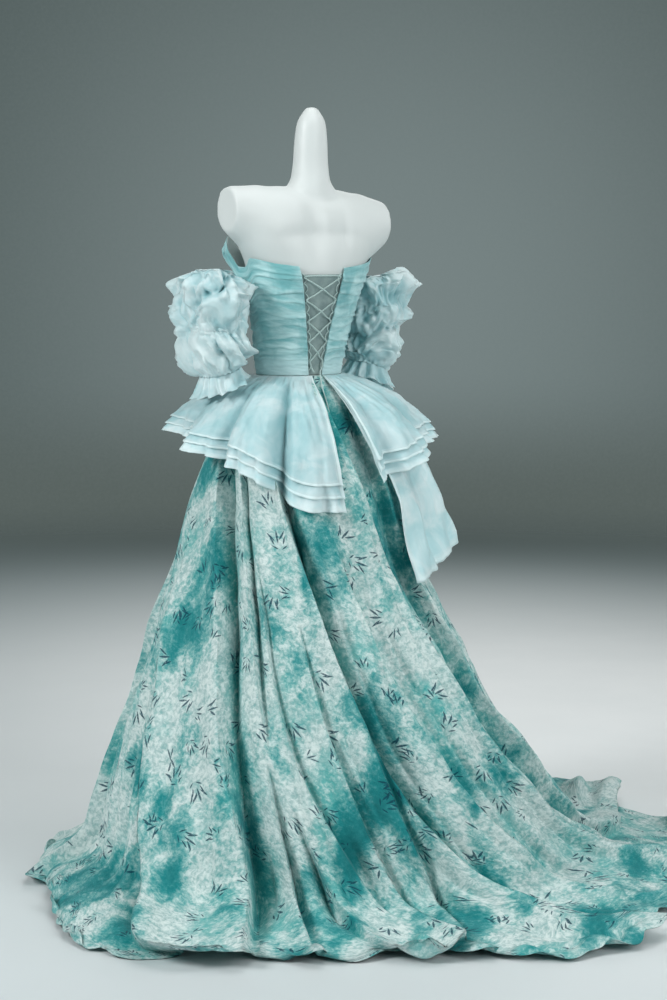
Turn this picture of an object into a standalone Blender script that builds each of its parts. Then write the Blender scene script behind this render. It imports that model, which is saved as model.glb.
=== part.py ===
"""Prom dress on a limbless dress form: printed skirt with a train swept to the wearer's right, laced
ruched bodice, off-shoulder puff sleeves and layered organza peplums. Metres, +Z up. The front faces -Y,
the wearer's left is +X. Angles run round the form from the wearer's left (0) by the back (90 degrees)."""
import math

import bpy
import numpy as np

# Driving dimensions
WAIST_HEIGHT = 1.128
FORM_TOP = 1.712
SHOULDER_SPAN = 0.400
SEAM_GAP = 0.0003

SKIRT_CLOTH = 0.0020
SKIRT_SEAM = 0.0005
HEM_SEAM = 0.0009
ORGANZA = 0.0010
BODICE_CLOTH = 0.0018
SLEEVE_CLOTH = 0.0012

# Dress form: sections of the body and neck
WAIST_CENTRE_Y = -0.027
TORSO_SECTIONS = (
    # height, half width, half depth, centre y
    (0.930, 0.118, 0.098, -0.008),
    (0.990, 0.122, 0.102, -0.008),
    (1.050, 0.112, 0.094, -0.016),
    (1.128, 0.0955, 0.0760, WAIST_CENTRE_Y),
    (1.200, 0.1040, 0.0830, -0.021),
    (1.290, 0.1235, 0.0960, -0.010),
    (1.350, 0.1380, 0.0980, 0.002),
    (1.384, 0.1520, 0.0950, 0.006),
    (1.410, 0.1680, 0.0890, 0.009),
    (1.440, 0.1840, 0.0780, 0.012),
    (1.475, 0.1700, 0.0640, 0.015),
    (1.512, 0.0900, 0.0540, 0.018),
    (1.545, 0.0480, 0.0480, 0.021),
    (1.580, 0.0400, 0.0400, 0.023),
    (1.640, 0.0360, 0.0360, 0.025),
    (1.685, 0.0290, 0.0290, 0.027),
    (1.704, 0.0170, 0.0170, 0.028),
)
NECK_TIP_Y = 0.028
BUST = {"height": 1.285, "spread": 0.050, "angle": 32.0, "width": 26.0, "rise": 0.22}

# Shoulder yoke: oval sections from the centre to the cut face, as shares of half the shoulder span
YOKE_SECTIONS = (
    # share of half span, centre height, half height, half depth, centre y
    (0.00, 1.450, 0.088, 0.078, 0.014),
    (0.35, 1.456, 0.085, 0.074, 0.013),
    (0.60, 1.457, 0.085, 0.066, 0.010),
    (0.80, 1.473, 0.068, 0.055, 0.006),
    (1.00, 1.491, 0.049, 0.045, 0.002),
)
RIGHT_SHOULDER_DROP = 0.020

TORSO_RINGS = (0.930, 0.990, 1.050, 1.090, 1.112, 1.128, 1.141, 1.155, 1.171, 1.190, 1.214, 1.242, 1.270, 1.298,
               1.324, 1.350, 1.378, 1.406, 1.436, 1.466, 1.498, 1.530, 1.560, 1.610, 1.650, 1.685, 1.697, 1.704)
STAND = {"base_radius": 0.190, "base_height": 0.018, "pole_radius": 0.015}

# Bodice: height of its top edge round the form
NECKLINE = (
    # angle, height, how far the edge stands off the form
    (-90.0, 1.352, 0.006),
    (-64.0, 1.376, 0.014),
    (-52.0, 1.418, 0.050),
    (-43.0, 1.436, 0.064),
    (-34.0, 1.410, 0.046),
    (-27.0, 1.366, 0.018),
    (-20.0, 1.352, 0.008),
    (-6.0, 1.366, 0.005),
    (12.0, 1.383, 0.004),
    (40.0, 1.374, 0.003),
    (90.0, 1.362, 0.003),
)
SIDE_SEAM = -22.0
LACED_GAP = {"left_top": 61.0, "left_foot": 77.0, "right_top": 104.0, "right_foot": 96.0}
RUCHE_HEIGHT = 0.0024
RUCHE_COUNT = 9
BACK_CLEARANCE = 0.0030
LINING_ROWS = 4
LINING_GAP = 0.0005
MODESTY = {"low": 55.0, "high": 112.0, "clearance": 0.0006, "cloth": 0.0010, "top": 1.350, "foot": 1.140}

# Lacing
LOOP_COUNT = 10
LOOP_REACH = 0.0060
LOOP_RADIUS = 0.0011
CORD_RADIUS = 0.0013
LACE_LEVELS = (1.344, 1.294, 1.247, 1.202, 1.158)
LACE_END = (
    # angle round the form, share of the way down the skirt, clearance
    (88.5, 0.03, 0.0040),
    (87.5, 0.08, 0.0020),
    (87.0, 0.13, 0.0012),
    (86.5, 0.17, 0.0012),
)

# Skirt: rings from the waist to the floor, on the short side and on the train side
SKIRT_RINGS = (
    # height, radius where the hem is short, radius where the train is long
    (1.060, 0.150, 0.140),
    (0.950, 0.213, 0.185),
    (0.820, 0.262, 0.220),
    (0.690, 0.306, 0.262),
    (0.510, 0.370, 0.355),
    (0.340, 0.428, 0.470),
    (0.200, 0.474, 0.572),
    (0.085, 0.520, 0.685),
)
HEM_LINE = (
    # angle, distance of the hem from the axis
    (0.0, 0.655),
    (19.0, 0.745),
    (34.0, 0.765),
    (49.0, 0.715),
    (64.0, 0.700),
    (82.0, 0.755),
    (95.0, 0.865),
    (106.0, 0.905),
    (118.0, 0.890),
    (130.0, 0.960),
    (142.0, 1.085),
    (152.0, 1.130),
    (163.0, 1.060),
    (174.0, 0.970),
    (182.0, 0.990),
    (191.0, 1.055),
    (203.0, 1.000),
    (218.0, 0.820),
    (236.0, 0.690),
    (262.0, 0.600),
    (300.0, 0.600),
    (321.0, 0.635),
    (340.0, 0.625),
)
SHORT_HEM = 0.64
LONG_HEM = 1.08

# Drag of the train: a line of cloth that ends at the hem angle starts further back at the waist
SKIRT_DRAG = (
    # hem angle, angle at the waist, angle halfway down
    (0.0, -38.0, -22.0),
    (33.0, -25.0, 4.0),
    (52.0, -8.0, 34.0),
    (61.0, 4.0, 41.0),
    (86.0, 16.0, 55.0),
    (112.0, 29.0, 70.0),
    (150.0, 70.0, 104.0),
    (175.0, 106.0, 118.0),
    (200.0, 150.0, 161.0),
    (230.0, 212.0, 219.0),
    (270.0, 264.0, 266.0),
    (300.0, 293.0, 296.0),
    (335.0, 310.0, 318.0),
)
DRAG_SHIFTS = tuple((hem, waist - hem, halfway - hem) for hem, waist, halfway in (
    (h, w - 360.0 if w - h > 180.0 else w, m - 360.0 if m - h > 180.0 else m) for h, w, m in SKIRT_DRAG))
SKIRT_FOLDS = (
    # angle at the hem, start (0 waist to 1 hem), depth at the hem, half width in degrees
    (12.0, 0.40, 0.030, 5.0),
    (33.0, 0.30, 0.055, 4.4),
    (42.0, 0.12, 0.022, 4.0),
    (52.0, 0.03, 0.090, 4.2),
    (61.0, 0.08, 0.052, 3.6),
    (72.0, 0.45, 0.060, 4.6),
    (87.0, 0.22, 0.038, 5.0),
    (99.0, 0.50, 0.032, 4.4),
    (112.0, 0.03, 0.092, 4.6),
    (123.0, 0.50, 0.052, 4.4),
    (137.0, 0.18, 0.034, 5.0),
    (150.0, 0.03, 0.066, 4.8),
    (163.0, 0.30, 0.036, 5.0),
    (175.0, 0.03, 0.068, 5.0),
    (190.0, 0.30, 0.044, 5.4),
    (205.0, 0.08, 0.058, 5.6),
    (222.0, 0.30, 0.046, 5.6),
    (239.0, 0.05, 0.056, 5.8),
    (256.0, 0.32, 0.040, 5.6),
    (273.0, 0.06, 0.050, 5.8),
    (290.0, 0.34, 0.036, 5.4),
    (307.0, 0.05, 0.052, 5.8),
    (323.0, 0.30, 0.034, 5.4),
    (339.0, 0.05, 0.046, 5.6),
    (355.0, 0.28, 0.034, 5.0),
)
SKIRT_PANELS = (
    # name, first and last angle at the hem, columns
    ("skirt_left_side", -12.0, 52.0, 20),
    ("skirt_left_back", 52.0, 112.0, 20),
    ("skirt_back", 112.0, 150.0, 13),
    ("skirt_train", 150.0, 190.0, 13),
    ("skirt_right_side", 190.0, 232.0, 12),
    ("skirt_right_front", 232.0, 271.0, 11),
    ("skirt_front", 271.0, 310.0, 11),
    ("skirt_left_front", 310.0, 348.0, 11),
)
HEM_LIFT = 0.0016
SKIRT_ROWS = (0.0, 0.04, 0.10, 0.20, 0.31, 0.43, 0.55, 0.67, 0.78, 0.87, 0.93, 1.0)

# Peplum: one base surface for each side, and the layers lie over it
PEPLUM_LEFT = (
    # angle, length of the longest layer, slope below level in degrees
    (-70.0, 0.200, 46.0),
    (-48.0, 0.215, 38.0),
    (-30.0, 0.222, 36.0),
    (-8.0, 0.232, 41.0),
    (16.0, 0.252, 44.0),
    (38.0, 0.285, 46.0),
    (60.0, 0.340, 54.0),
    (80.0, 0.350, 55.0),
)
PEPLUM_RIGHT = (
    (95.0, 0.300, 49.0),
    (112.0, 0.290, 45.0),
    (135.0, 0.260, 39.0),
    (152.0, 0.244, 38.0),
    (180.0, 0.232, 41.0),
    (210.0, 0.222, 36.0),
    (230.0, 0.215, 38.0),
    (250.0, 0.200, 46.0),
)
PEPLUM_CRESTS_LEFT = (-62.0, -47.0, -30.0, -13.0, 4.0, 21.0, 38.0, 52.5, 65.0, 77.5)
PEPLUM_CRESTS_RIGHT = (96.0, 106.0, 119.0, 133.0, 150.0, 166.0, 183.0, 200.0, 217.0, 233.0, 248.0)
SIDE_PANEL_CRESTS = (112.0, 124.0, 138.0, 152.0, 170.0)
PEPLUM_LAYERS = (
    # name, share of the longest layer, clearance over the lowest at the waist, clearance at the hem
    ("under", 1.00, 0.0000, 0.0100),
    ("middle", 0.93, 0.0014, 0.0150),
    ("upper", 0.86, 0.0028, 0.0200),
)
FLUTE_DEPTH = 0.016
FLUTE_WIDTH = 7.0
PANEL_CLEARANCE = 0.0026
PEPLUM_WAIST = {"left": 0.0025, "right": 0.0041}
PEPLUM_SPRING = (0.72, 0.22)
PANEL_SPRING = (0.50, 0.45)
SIDE_PANEL = (
    # angle, length, slope below level
    (108.0, 0.500, 62.5),
    (122.0, 0.485, 60.0),
    (140.0, 0.450, 57.0),
    (155.0, 0.400, 56.0),
    (172.0, 0.330, 56.0),
    (190.0, 0.270, 58.0),
)

# Sleeve of the wearer's left; the right one is its mirror image
SLEEVE_AXIS = (
    # height, x, y
    (1.352, 0.2106, -0.050),
    (1.260, 0.2106, -0.050),
    (1.160, 0.196, -0.044),
    (1.080, 0.188, -0.040),
)
SLEEVE_PIECES = (
    # name, rows of (height, half width, half depth), gathers, gather depth
    ("upper_puff", ((1.346, 0.046, 0.076), (1.352, 0.056, 0.092), (1.332, 0.068, 0.108),
                    (1.298, 0.072, 0.114), (1.262, 0.070, 0.110), (1.234, 0.060, 0.096),
                    (1.216, 0.048, 0.078)), 9, 0.007),
    ("lower_puff", ((1.2157, 0.048, 0.078), (1.198, 0.058, 0.088), (1.172, 0.058, 0.086),
                    (1.150, 0.048, 0.070), (1.138, 0.038, 0.054)), 8, 0.005),
    ("cuff_frill", ((1.1377, 0.038, 0.054), (1.126, 0.042, 0.058), (1.114, 0.047, 0.064),
                    (1.104, 0.051, 0.069)), 11, 0.007),
)
CUFF_TILT = 0.36
LEFT_SLEEVE_IN = 0.0012

COLOURS = {
    # finish: base colour, roughness
    "form": ((0.86, 0.87, 0.86, 1.0), 0.32),
    "stand": ((0.62, 0.64, 0.65, 1.0), 0.40),
    "print": ((0.42, 0.68, 0.68, 1.0), 0.80),
    "ruched": ((0.30, 0.62, 0.63, 1.0), 0.55),
    "organza": ((0.55, 0.80, 0.82, 1.0), 0.45),
    "lining": ((0.88, 0.93, 0.92, 1.0), 0.60),
    "modesty": ((0.50, 0.58, 0.56, 1.0), 0.70),
    "cord": ((0.66, 0.80, 0.77, 1.0), 0.50),
}


def curve(x, knots, values):
    """Smooth curve through the knots: cubic spans, level where the values turn."""
    x = np.asarray(x, float)
    knots = np.asarray(knots, float)
    values = np.asarray(values, float)
    slope = np.diff(values) / np.diff(knots)
    inner = np.where(slope[:-1] * slope[1:] > 0.0, (slope[:-1] + slope[1:]) / 2.0, 0.0)
    tangent = np.concatenate([slope[:1], inner, slope[-1:]])
    span = np.clip(np.searchsorted(knots, x) - 1, 0, len(knots) - 2)
    width = knots[span + 1] - knots[span]
    t = np.clip((x - knots[span]) / width, 0.0, 1.0)
    return (values[span] * (1.0 + 2.0 * t) * (1.0 - t) ** 2 + values[span + 1] * t * t * (3.0 - 2.0 * t)
            + width * (tangent[span] * t * (1.0 - t) ** 2 - tangent[span + 1] * t * t * (1.0 - t)))


def column(table, index):
    return [row[index] for row in table]


def ring_curve(angle, table, index):
    """Smooth curve of a table that runs all the way round."""
    angles = np.array(column(table, 0))
    values = np.array(column(table, index))
    angles = np.concatenate([angles[-2:] - 360.0, angles, angles[:2] + 360.0])
    values = np.concatenate([values[-2:], values, values[:2]])
    return curve(np.mod(angle, 360.0), angles, values)


def smooth(t):
    t = np.clip(t, 0.0, 1.0)
    return t * t * (3.0 - 2.0 * t)


def turned(angle):
    """Difference of angles folded to -180..180 degrees."""
    return np.mod(angle + 180.0, 360.0) - 180.0


def unit(vectors):
    return vectors / np.maximum(np.linalg.norm(vectors, axis=-1, keepdims=True), 1e-9)


def normals(surface, angle, down):
    """Outward normals of a surface of (angle, down), from small steps both ways."""
    step_a = 0.05
    step_d = 0.002
    across = surface(angle + step_a, down) - surface(angle - step_a, down)
    along = surface(angle, down + step_d) - surface(angle, down - step_d)
    return unit(np.cross(along, across))


def torso(angle, height, clearance=0.0):
    """Point of the body at an angle and height, moved out by the clearance."""
    angle, height = np.broadcast_arrays(np.asarray(angle, float), np.asarray(height, float))
    heights = column(TORSO_SECTIONS, 0)
    half_width = curve(height, heights, column(TORSO_SECTIONS, 1)) + clearance
    half_depth = curve(height, heights, column(TORSO_SECTIONS, 2)) + clearance
    centre_y = curve(height, heights, column(TORSO_SECTIONS, 3))
    beat = np.exp(-((turned(angle + 90.0 - BUST["angle"])) / BUST["width"]) ** 2)
    beat = beat + np.exp(-((turned(angle + 90.0 + BUST["angle"])) / BUST["width"]) ** 2)
    swell = 1.0 + BUST["rise"] * beat * np.exp(-((height - BUST["height"]) / BUST["spread"]) ** 2)
    turn = np.radians(angle)
    return np.stack([half_width * np.cos(turn) * (1.0 + 0.3 * (swell - 1.0)),
                     centre_y + half_depth * np.sin(turn) * swell, height], axis=-1)


def neckline(angle, index):
    """Height or stand-off of the bodice's top edge, the same on both sides of the form."""
    folded = turned(np.asarray(angle, float) - 90.0)
    return curve(90.0 - np.abs(folded), column(NECKLINE, 0), column(NECKLINE, index))


def bodice(angle, down, clearance=0.0):
    """Inner face of the bodice: down runs from 0 at its top edge to 1 at the waist."""
    top = neckline(angle, 1)
    height = top + (WAIST_HEIGHT + SEAM_GAP - top) * down
    flare = neckline(angle, 2) * np.clip(1.0 - down / 0.42, 0.0, 1.0) ** 2
    snug = np.exp(-((turned(angle + 90.0)) / 50.0) ** 4) * smooth((down - 0.75) / 0.25)
    offset = BACK_CLEARANCE - 0.0015 * snug + flare + clearance
    return torso(angle, np.clip(height, 1.0, 1.40), offset) * [1.0, 1.0, 0.0] + np.stack(
        [np.zeros_like(height), np.zeros_like(height), height], axis=-1)


def gap_edge(side, down):
    return LACED_GAP[side + "_top"] + (LACED_GAP[side + "_foot"] - LACED_GAP[side + "_top"]) * down


def hem_reach(angle):
    return ring_curve(angle, HEM_LINE, 1)


def through(stack, position):
    """Smooth value at a position along a stack of arrays, by a Catmull-Rom span."""
    span = np.clip(position.astype(int), 0, len(stack) - 2)
    t = position - span
    padded = np.concatenate([[2.0 * stack[0] - stack[1]], stack, [2.0 * stack[-1] - stack[-2]]])
    place = tuple(np.indices(span.shape))
    before, start, end, after = (padded[(span + k,) + place] for k in range(4))
    return 0.5 * (2.0 * start + (end - before) * t + (2.0 * before - 5.0 * start + 4.0 * end - after) * t ** 2
                  + (3.0 * start - before - 3.0 * end + after) * t ** 3)


def dragged(hem_angle, down):
    """Angle of a line of cloth part of the way down: a parabola through waist, halfway and hem angles."""
    at_waist = hem_angle + ring_curve(hem_angle, DRAG_SHIFTS, 1)
    halfway = hem_angle + ring_curve(hem_angle, DRAG_SHIFTS, 2)
    return ((1.0 - down) * (1.0 - 2.0 * down) * at_waist + 4.0 * down * (1.0 - down) * halfway
            + down * (2.0 * down - 1.0) * hem_angle)


def skirt_base(hem_angle, down):
    """Skirt without its folds: an oval at the waist that widens to the hem line on the floor."""
    hem_angle, down = np.broadcast_arrays(np.asarray(hem_angle, float), np.asarray(down, float))
    angle = dragged(hem_angle, down)
    reach = hem_reach(angle)
    share = smooth((reach - SHORT_HEM) / (LONG_HEM - SHORT_HEM))
    waist = torso(angle, WAIST_HEIGHT, BACK_CLEARANCE + SKIRT_CLOTH)
    lying = 0.03 + 0.62 * np.clip(reach - 0.74, 0.0, 1.0)
    radii = [np.hypot(waist[..., 0], waist[..., 1] - WAIST_CENTRE_Y)]
    heights = [WAIST_HEIGHT]
    for height, short, long in SKIRT_RINGS:
        middling = 0.25 * (reach - 0.70) * (1.0 - share) * (1.0 - height)
        radii.append(short + (long - short) * share + middling)
        heights.append(height)
    radii = np.stack(radii + [reach - lying, reach])
    heights = heights + [0.016, SKIRT_CLOTH]
    radius = through(radii, np.clip(down, 0.0, 1.0) * (len(radii) - 1))
    height = curve(down, np.linspace(0.0, 1.0, len(heights)), heights)
    centre_y = WAIST_CENTRE_Y * (1.0 - smooth(down / 0.35))
    waist_turn = np.arctan2(waist[..., 1] - WAIST_CENTRE_Y, waist[..., 0])
    bend = np.radians(turned(angle - np.degrees(waist_turn)))
    turn = waist_turn + bend * smooth(down / 0.25)
    return np.stack([radius * np.cos(turn), centre_y + radius * np.sin(turn), height], axis=-1)


def fold_relief(hem_angle, down):
    """How far the folds sink in at a point: soft troughs that deepen towards the hem."""
    relief = np.zeros(np.broadcast(hem_angle, down).shape)
    for at_hem, start, depth, half_width in SKIRT_FOLDS:
        run = np.clip((down - start) / (1.0 - start), 0.0, 1.0) ** 0.75
        relief = relief + depth * run * np.exp(-(turned(hem_angle - at_hem) / half_width) ** 2)
    return relief


def skirt(hem_angle, down):
    """Outer face of the skirt: troughs sink in on the standing cloth, and lie as ridges on the train."""
    points = skirt_base(hem_angle, down)
    out = normals(skirt_base, hem_angle, np.clip(down, 0.003, 0.997))
    relief = fold_relief(hem_angle, down)
    lying = smooth((0.10 - points[..., 2]) / 0.08)
    move = -relief * (1.0 - lying) + 0.5 * relief * lying
    out = unit(out * np.stack([1.0 - 0.6 * lying, 1.0 - 0.6 * lying, np.ones_like(lying)], axis=-1))
    points = points + out * move[..., None]
    hem_wave = -relief * smooth((down - 0.85) / 0.15)
    turn = np.radians(dragged(hem_angle, down))
    points[..., 0] += hem_wave * np.cos(turn)
    points[..., 1] += hem_wave * np.sin(turn)
    points[..., 2] = np.maximum(points[..., 2], HEM_LIFT)
    return points


def flutes(angle, crests):
    """Wave of a gathered hem: crests stand out and the valleys between them fall in."""
    wave = np.zeros(np.shape(angle))
    for index, middle in enumerate(crests):
        sign = 1.0 if index % 2 == 0 else -1.0
        wave = wave + sign * np.exp(-((angle - middle) / FLUTE_WIDTH) ** 2)
    return wave


def organza_fall(table, crests, angle, run, share, clearance, spring=PEPLUM_SPRING):
    """Gathered layer that springs from the waist: run goes from 0 at the waist to 1 at the layer's hem.
    The clearance lifts the layer off the lowest one, square to the slope. The spring is how much less it
    falls, and how much further it stands out, where it leaves the waist."""
    angles = column(table, 0)
    length = curve(angle, angles, column(table, 1))
    slope = np.radians(curve(angle, angles, column(table, 2)))
    turn = np.radians(angle)
    out = np.stack([np.cos(turn), np.sin(turn), np.zeros_like(turn)], axis=-1)
    along = run * share
    drop = length * along * np.sin(slope) * (spring[0] + (1.0 - spring[0]) * along)
    spread = length * along * np.cos(slope) * (1.0 + spring[1] * (1.0 - along))
    spread = spread + FLUTE_DEPTH * flutes(angle, crests) * along ** 1.4
    tilt = smooth(run * 4.0)[..., None]
    level = np.cos(slope)[..., None] * [0.0, 0.0, 1.0]
    lift = unit((out * np.sin(slope)[..., None] + level) * tilt + out * (1.0 - tilt))
    points = torso(angle, WAIST_HEIGHT - SEAM_GAP, BACK_CLEARANCE) + out * spread[..., None]
    points = points + lift * clearance[..., None]
    points[..., 2] -= drop
    return points


def wall(name, finish, outer, inner):
    """Closed wall between two grids of points, rows running down and columns to rising angles."""
    rows, columns = outer.shape[:2]
    index = np.arange(rows * columns).reshape(rows, columns)
    a, b, c, d = index[:-1, :-1], index[1:, :-1], index[1:, 1:], index[:-1, 1:]
    front = np.concatenate([np.stack([a, b, c], -1).reshape(-1, 3), np.stack([a, c, d], -1).reshape(-1, 3)])
    count = rows * columns
    faces = [front, front[:, ::-1] + count]
    for edge in (index[0, ::-1], index[:, 0], index[-1]):
        rim, after = edge[:-1], edge[1:]
        faces.append(np.stack([rim, rim + count, after + count], -1))
        faces.append(np.stack([rim, after + count, after], -1))
    rim, after = index[:0:-1, -1], index[-2::-1, -1]
    faces.append(np.stack([rim, rim + count, after], -1))
    faces.append(np.stack([rim + count, after + count, after], -1))
    return make(name, finish, np.concatenate([outer.reshape(-1, 3), inner.reshape(-1, 3)]), np.concatenate(faces))


def tube_wall(name, finish, outer, inner):
    """Closed wall of a tube, open at both ends; the last column meets the first."""
    rows, columns = outer.shape[:2]
    index = np.arange(rows * columns).reshape(rows, columns)
    beside = np.roll(index, -1, axis=1)
    a, b, c, d = index[:-1], index[1:], beside[1:], beside[:-1]
    front = np.concatenate([np.stack([a, b, c], -1).reshape(-1, 3), np.stack([a, c, d], -1).reshape(-1, 3)])
    count = rows * columns
    faces = [front, front[:, ::-1] + count]
    top, top_beside = index[0], beside[0]
    foot, foot_beside = index[-1], beside[-1]
    faces.append(np.stack([top, top_beside, top_beside + count], -1))
    faces.append(np.stack([top, top_beside + count, top + count], -1))
    faces.append(np.stack([foot, foot_beside + count, foot_beside], -1))
    faces.append(np.stack([foot, foot + count, foot_beside + count], -1))
    return make(name, finish, np.concatenate([outer.reshape(-1, 3), inner.reshape(-1, 3)]), np.concatenate(faces))


def finish_material(name):
    material = bpy.data.materials.get(name)
    if material is None:
        material = bpy.data.materials.new(name)
        material.use_nodes = True
        shader = material.node_tree.nodes["Principled BSDF"]
        shader.inputs["Base Color"].default_value = COLOURS[name][0]
        shader.inputs["Roughness"].default_value = COLOURS[name][1]
        shader.inputs["Metallic"].default_value = 0.0
    return material


def make(name, finish, points, faces):
    mesh = bpy.data.meshes.new(name)
    mesh.from_pydata(np.asarray(points, float).tolist(), [], np.asarray(faces, int).tolist())
    mesh.materials.append(finish_material(finish))
    mesh.shade_smooth()
    item = bpy.data.objects.new(name, mesh)
    bpy.context.collection.objects.link(item)
    return item


def grid(first, last, columns, rows):
    """Angles and down values of a panel; first and last may differ from row to row."""
    rows = np.asarray(rows, float)
    share = np.linspace(0.0, 1.0, columns)
    first = np.broadcast_to(first, rows.shape)
    last = np.broadcast_to(last, rows.shape)
    angle = first[:, None] + (last - first)[:, None] * share[None, :]
    return angle, np.repeat(rows[:, None], columns, axis=1)


def capped_loft(name, finish, rings):
    """Closed solid through rings of points, with a fan over each end."""
    rings = np.asarray(rings, float)
    count, sides = rings.shape[:2]
    index = np.arange(count * sides).reshape(count, sides)
    beside = np.roll(index, -1, axis=1)
    a, b, c, d = index[:-1], index[1:], beside[1:], beside[:-1]
    faces = [np.stack([a, c, b], -1).reshape(-1, 3), np.stack([a, d, c], -1).reshape(-1, 3)]
    low, high = count * sides, count * sides + 1
    faces.append(np.stack([beside[0], index[0], np.full(sides, low)], -1))
    faces.append(np.stack([index[-1], beside[-1], np.full(sides, high)], -1))
    points = np.concatenate([rings.reshape(-1, 3), [rings[0].mean(axis=0), rings[-1].mean(axis=0)]])
    return make(name, finish, points, np.concatenate(faces))


def build_form():
    """Torso with neck and cut shoulders on a pole and a round base."""
    sides = 24
    angle = np.arange(sides) * 360.0 / sides
    rings = [torso(angle, height) for height in TORSO_RINGS]
    tip = rings[-1].copy()
    tip[:, :2] = tip[:, :2] * 0.35 + np.array([0.0, NECK_TIP_Y]) * 0.65
    tip[:, 2] = FORM_TOP
    body = capped_loft("form_torso", "form", rings + [tip])

    across = np.linspace(-1.0, 1.0, 11)
    shares = column(YOKE_SECTIONS, 0)
    turn = np.radians(np.arange(16) * 22.5)
    ovals = []
    for share in across:
        centre_z, half_height, half_depth, centre_y = (
            curve(abs(share), shares, column(YOKE_SECTIONS, k)) for k in range(1, 5))
        drop = RIGHT_SHOULDER_DROP * max(-share, 0.0) ** 1.5
        ovals.append(np.stack([np.full(16, share * SHOULDER_SPAN / 2.0),
                               centre_y + half_depth * np.cos(turn),
                               centre_z - drop + half_height * np.sin(turn)], axis=-1))
    yoke = capped_loft("yoke_shape", "form", ovals)
    join = body.modifiers.new("Shoulders", "BOOLEAN")
    join.operation = "UNION"
    join.solver = "EXACT"
    join.object = yoke
    yoke.hide_render = True
    yoke.display_type = "WIRE"

    base_rings = []
    for radius, height in ((0.985, 0.0), (1.0, 0.12), (1.0, 0.72), (0.97, 0.93), (0.90, 1.0)):
        turn = np.radians(np.arange(28) * 360.0 / 28)
        size = STAND["base_radius"] * radius
        base_rings.append(np.stack([size * np.cos(turn), size * np.sin(turn),
                                    np.full(28, STAND["base_height"] * height)], axis=-1))
    capped_loft("form_base", "stand", base_rings)
    turn = np.radians(np.arange(16) * 22.5)
    pole = [np.stack([STAND["pole_radius"] * np.cos(turn), STAND["pole_radius"] * np.sin(turn),
                      np.full(16, height)], axis=-1)
            for height in (STAND["base_height"] + SEAM_GAP, TORSO_SECTIONS[0][0] - SEAM_GAP)]
    capped_loft("form_pole", "stand", pole)


def build_bodice():
    """Three ruched panels, the lining of the front and the modesty panel."""
    rows = np.linspace(0.0, 1.0, 2 * RUCHE_COUNT + 1)
    half_gap = math.degrees(SEAM_GAP / 2.0 / 0.11)
    panels = (
        ("bodice_front", -180.0 - SIDE_SEAM, SIDE_SEAM, 14),
        ("bodice_back_left", SIDE_SEAM, gap_edge("left", rows), 8),
        ("bodice_back_right", gap_edge("right", rows), 180.0 - SIDE_SEAM, 8),
    )
    for name, first, last, columns in panels:
        angle, down = grid(first + half_gap, last - half_gap, columns, rows)
        inner = bodice(angle, down)
        out = normals(bodice, angle, np.clip(down, 0.003, 0.997))
        across = np.linspace(0.0, 1.0, columns)[None, :]
        ridge = (np.arange(len(rows)) % 2)[:, None] * (0.55 + 0.45 * np.sin(5.0 * across + rows[:, None] * 17.0))
        ridge = ridge * smooth(across / 0.12) * smooth((1.0 - across) / 0.12)
        outer = inner + out * (BODICE_CLOTH + RUCHE_HEIGHT * ridge)[..., None]
        outer[0, :, 2] = inner[0, :, 2]
        outer[-1, :, 2] = inner[-1, :, 2]
        wall(name, "ruched", outer, inner)
        if name == "bodice_front":
            lining_rows = slice(0, LINING_ROWS)
            lining = inner[lining_rows] - out[lining_rows] * LINING_GAP
            wall("bodice_front_lining", "lining", lining, lining - out[lining_rows] * ORGANZA)

    levels = [height for height in TORSO_RINGS[::-1] if MODESTY["foot"] < height <= MODESTY["top"]]
    angle, height = grid(MODESTY["low"], MODESTY["high"], 10, levels)
    inner = torso(angle, height, MODESTY["clearance"])
    outer = torso(angle, height, MODESTY["clearance"] + MODESTY["cloth"])
    wall("modesty_panel", "modesty", outer, inner)


def tube(name, finish, points, radius, sides_setting):
    """Round cord along a smooth line of points, with filled ends."""
    line = bpy.data.curves.new(name, "CURVE")
    line.dimensions = "3D"
    line.bevel_depth = radius
    line.bevel_resolution = sides_setting
    line.use_fill_caps = True
    spline = line.splines.new("POLY")
    spline.points.add(len(points) - 1)
    for knot, place in zip(spline.points, points):
        knot.co = (float(place[0]), float(place[1]), float(place[2]), 1.0)
    line.materials.append(finish_material(finish))
    item = bpy.data.objects.new(name, line)
    bpy.context.collection.objects.link(item)
    return item


def smooth_line(points, count):
    """Evenly spaced points on the smooth curve through a few points."""
    points = np.asarray(points, float)
    steps = np.concatenate([[0.0], np.cumsum(np.linalg.norm(np.diff(points, axis=0), axis=1))])
    fine = np.linspace(0.0, steps[-1], 40 * len(points))
    dense = np.stack([curve(fine, steps, points[:, k]) for k in range(3)], axis=-1)
    run = np.concatenate([[0.0], np.cumsum(np.linalg.norm(np.diff(dense, axis=0), axis=1))])
    even = np.linspace(0.0, run[-1], count)
    return np.stack([np.interp(even, run, dense[:, k]) for k in range(3)], axis=-1)


def on_back(angle, height, clearance):
    return torso(np.array([angle]), np.array([height]), clearance)[0]


def edge_angle(side, height):
    top = float(neckline(90.0, 1))
    return float(gap_edge(side, (top - height) / (top - WAIST_HEIGHT)))


def on_skirt(angle, down, clearance):
    """Point over the skirt at an angle round the form."""
    hem_angles = np.linspace(-20.0, 340.0, 721)
    hem_angle = np.array([np.interp(angle, dragged(hem_angles, down), hem_angles)])
    place = np.array([down])
    return (skirt(hem_angle, place) + normals(skirt, hem_angle, place) * clearance)[0]


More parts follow.
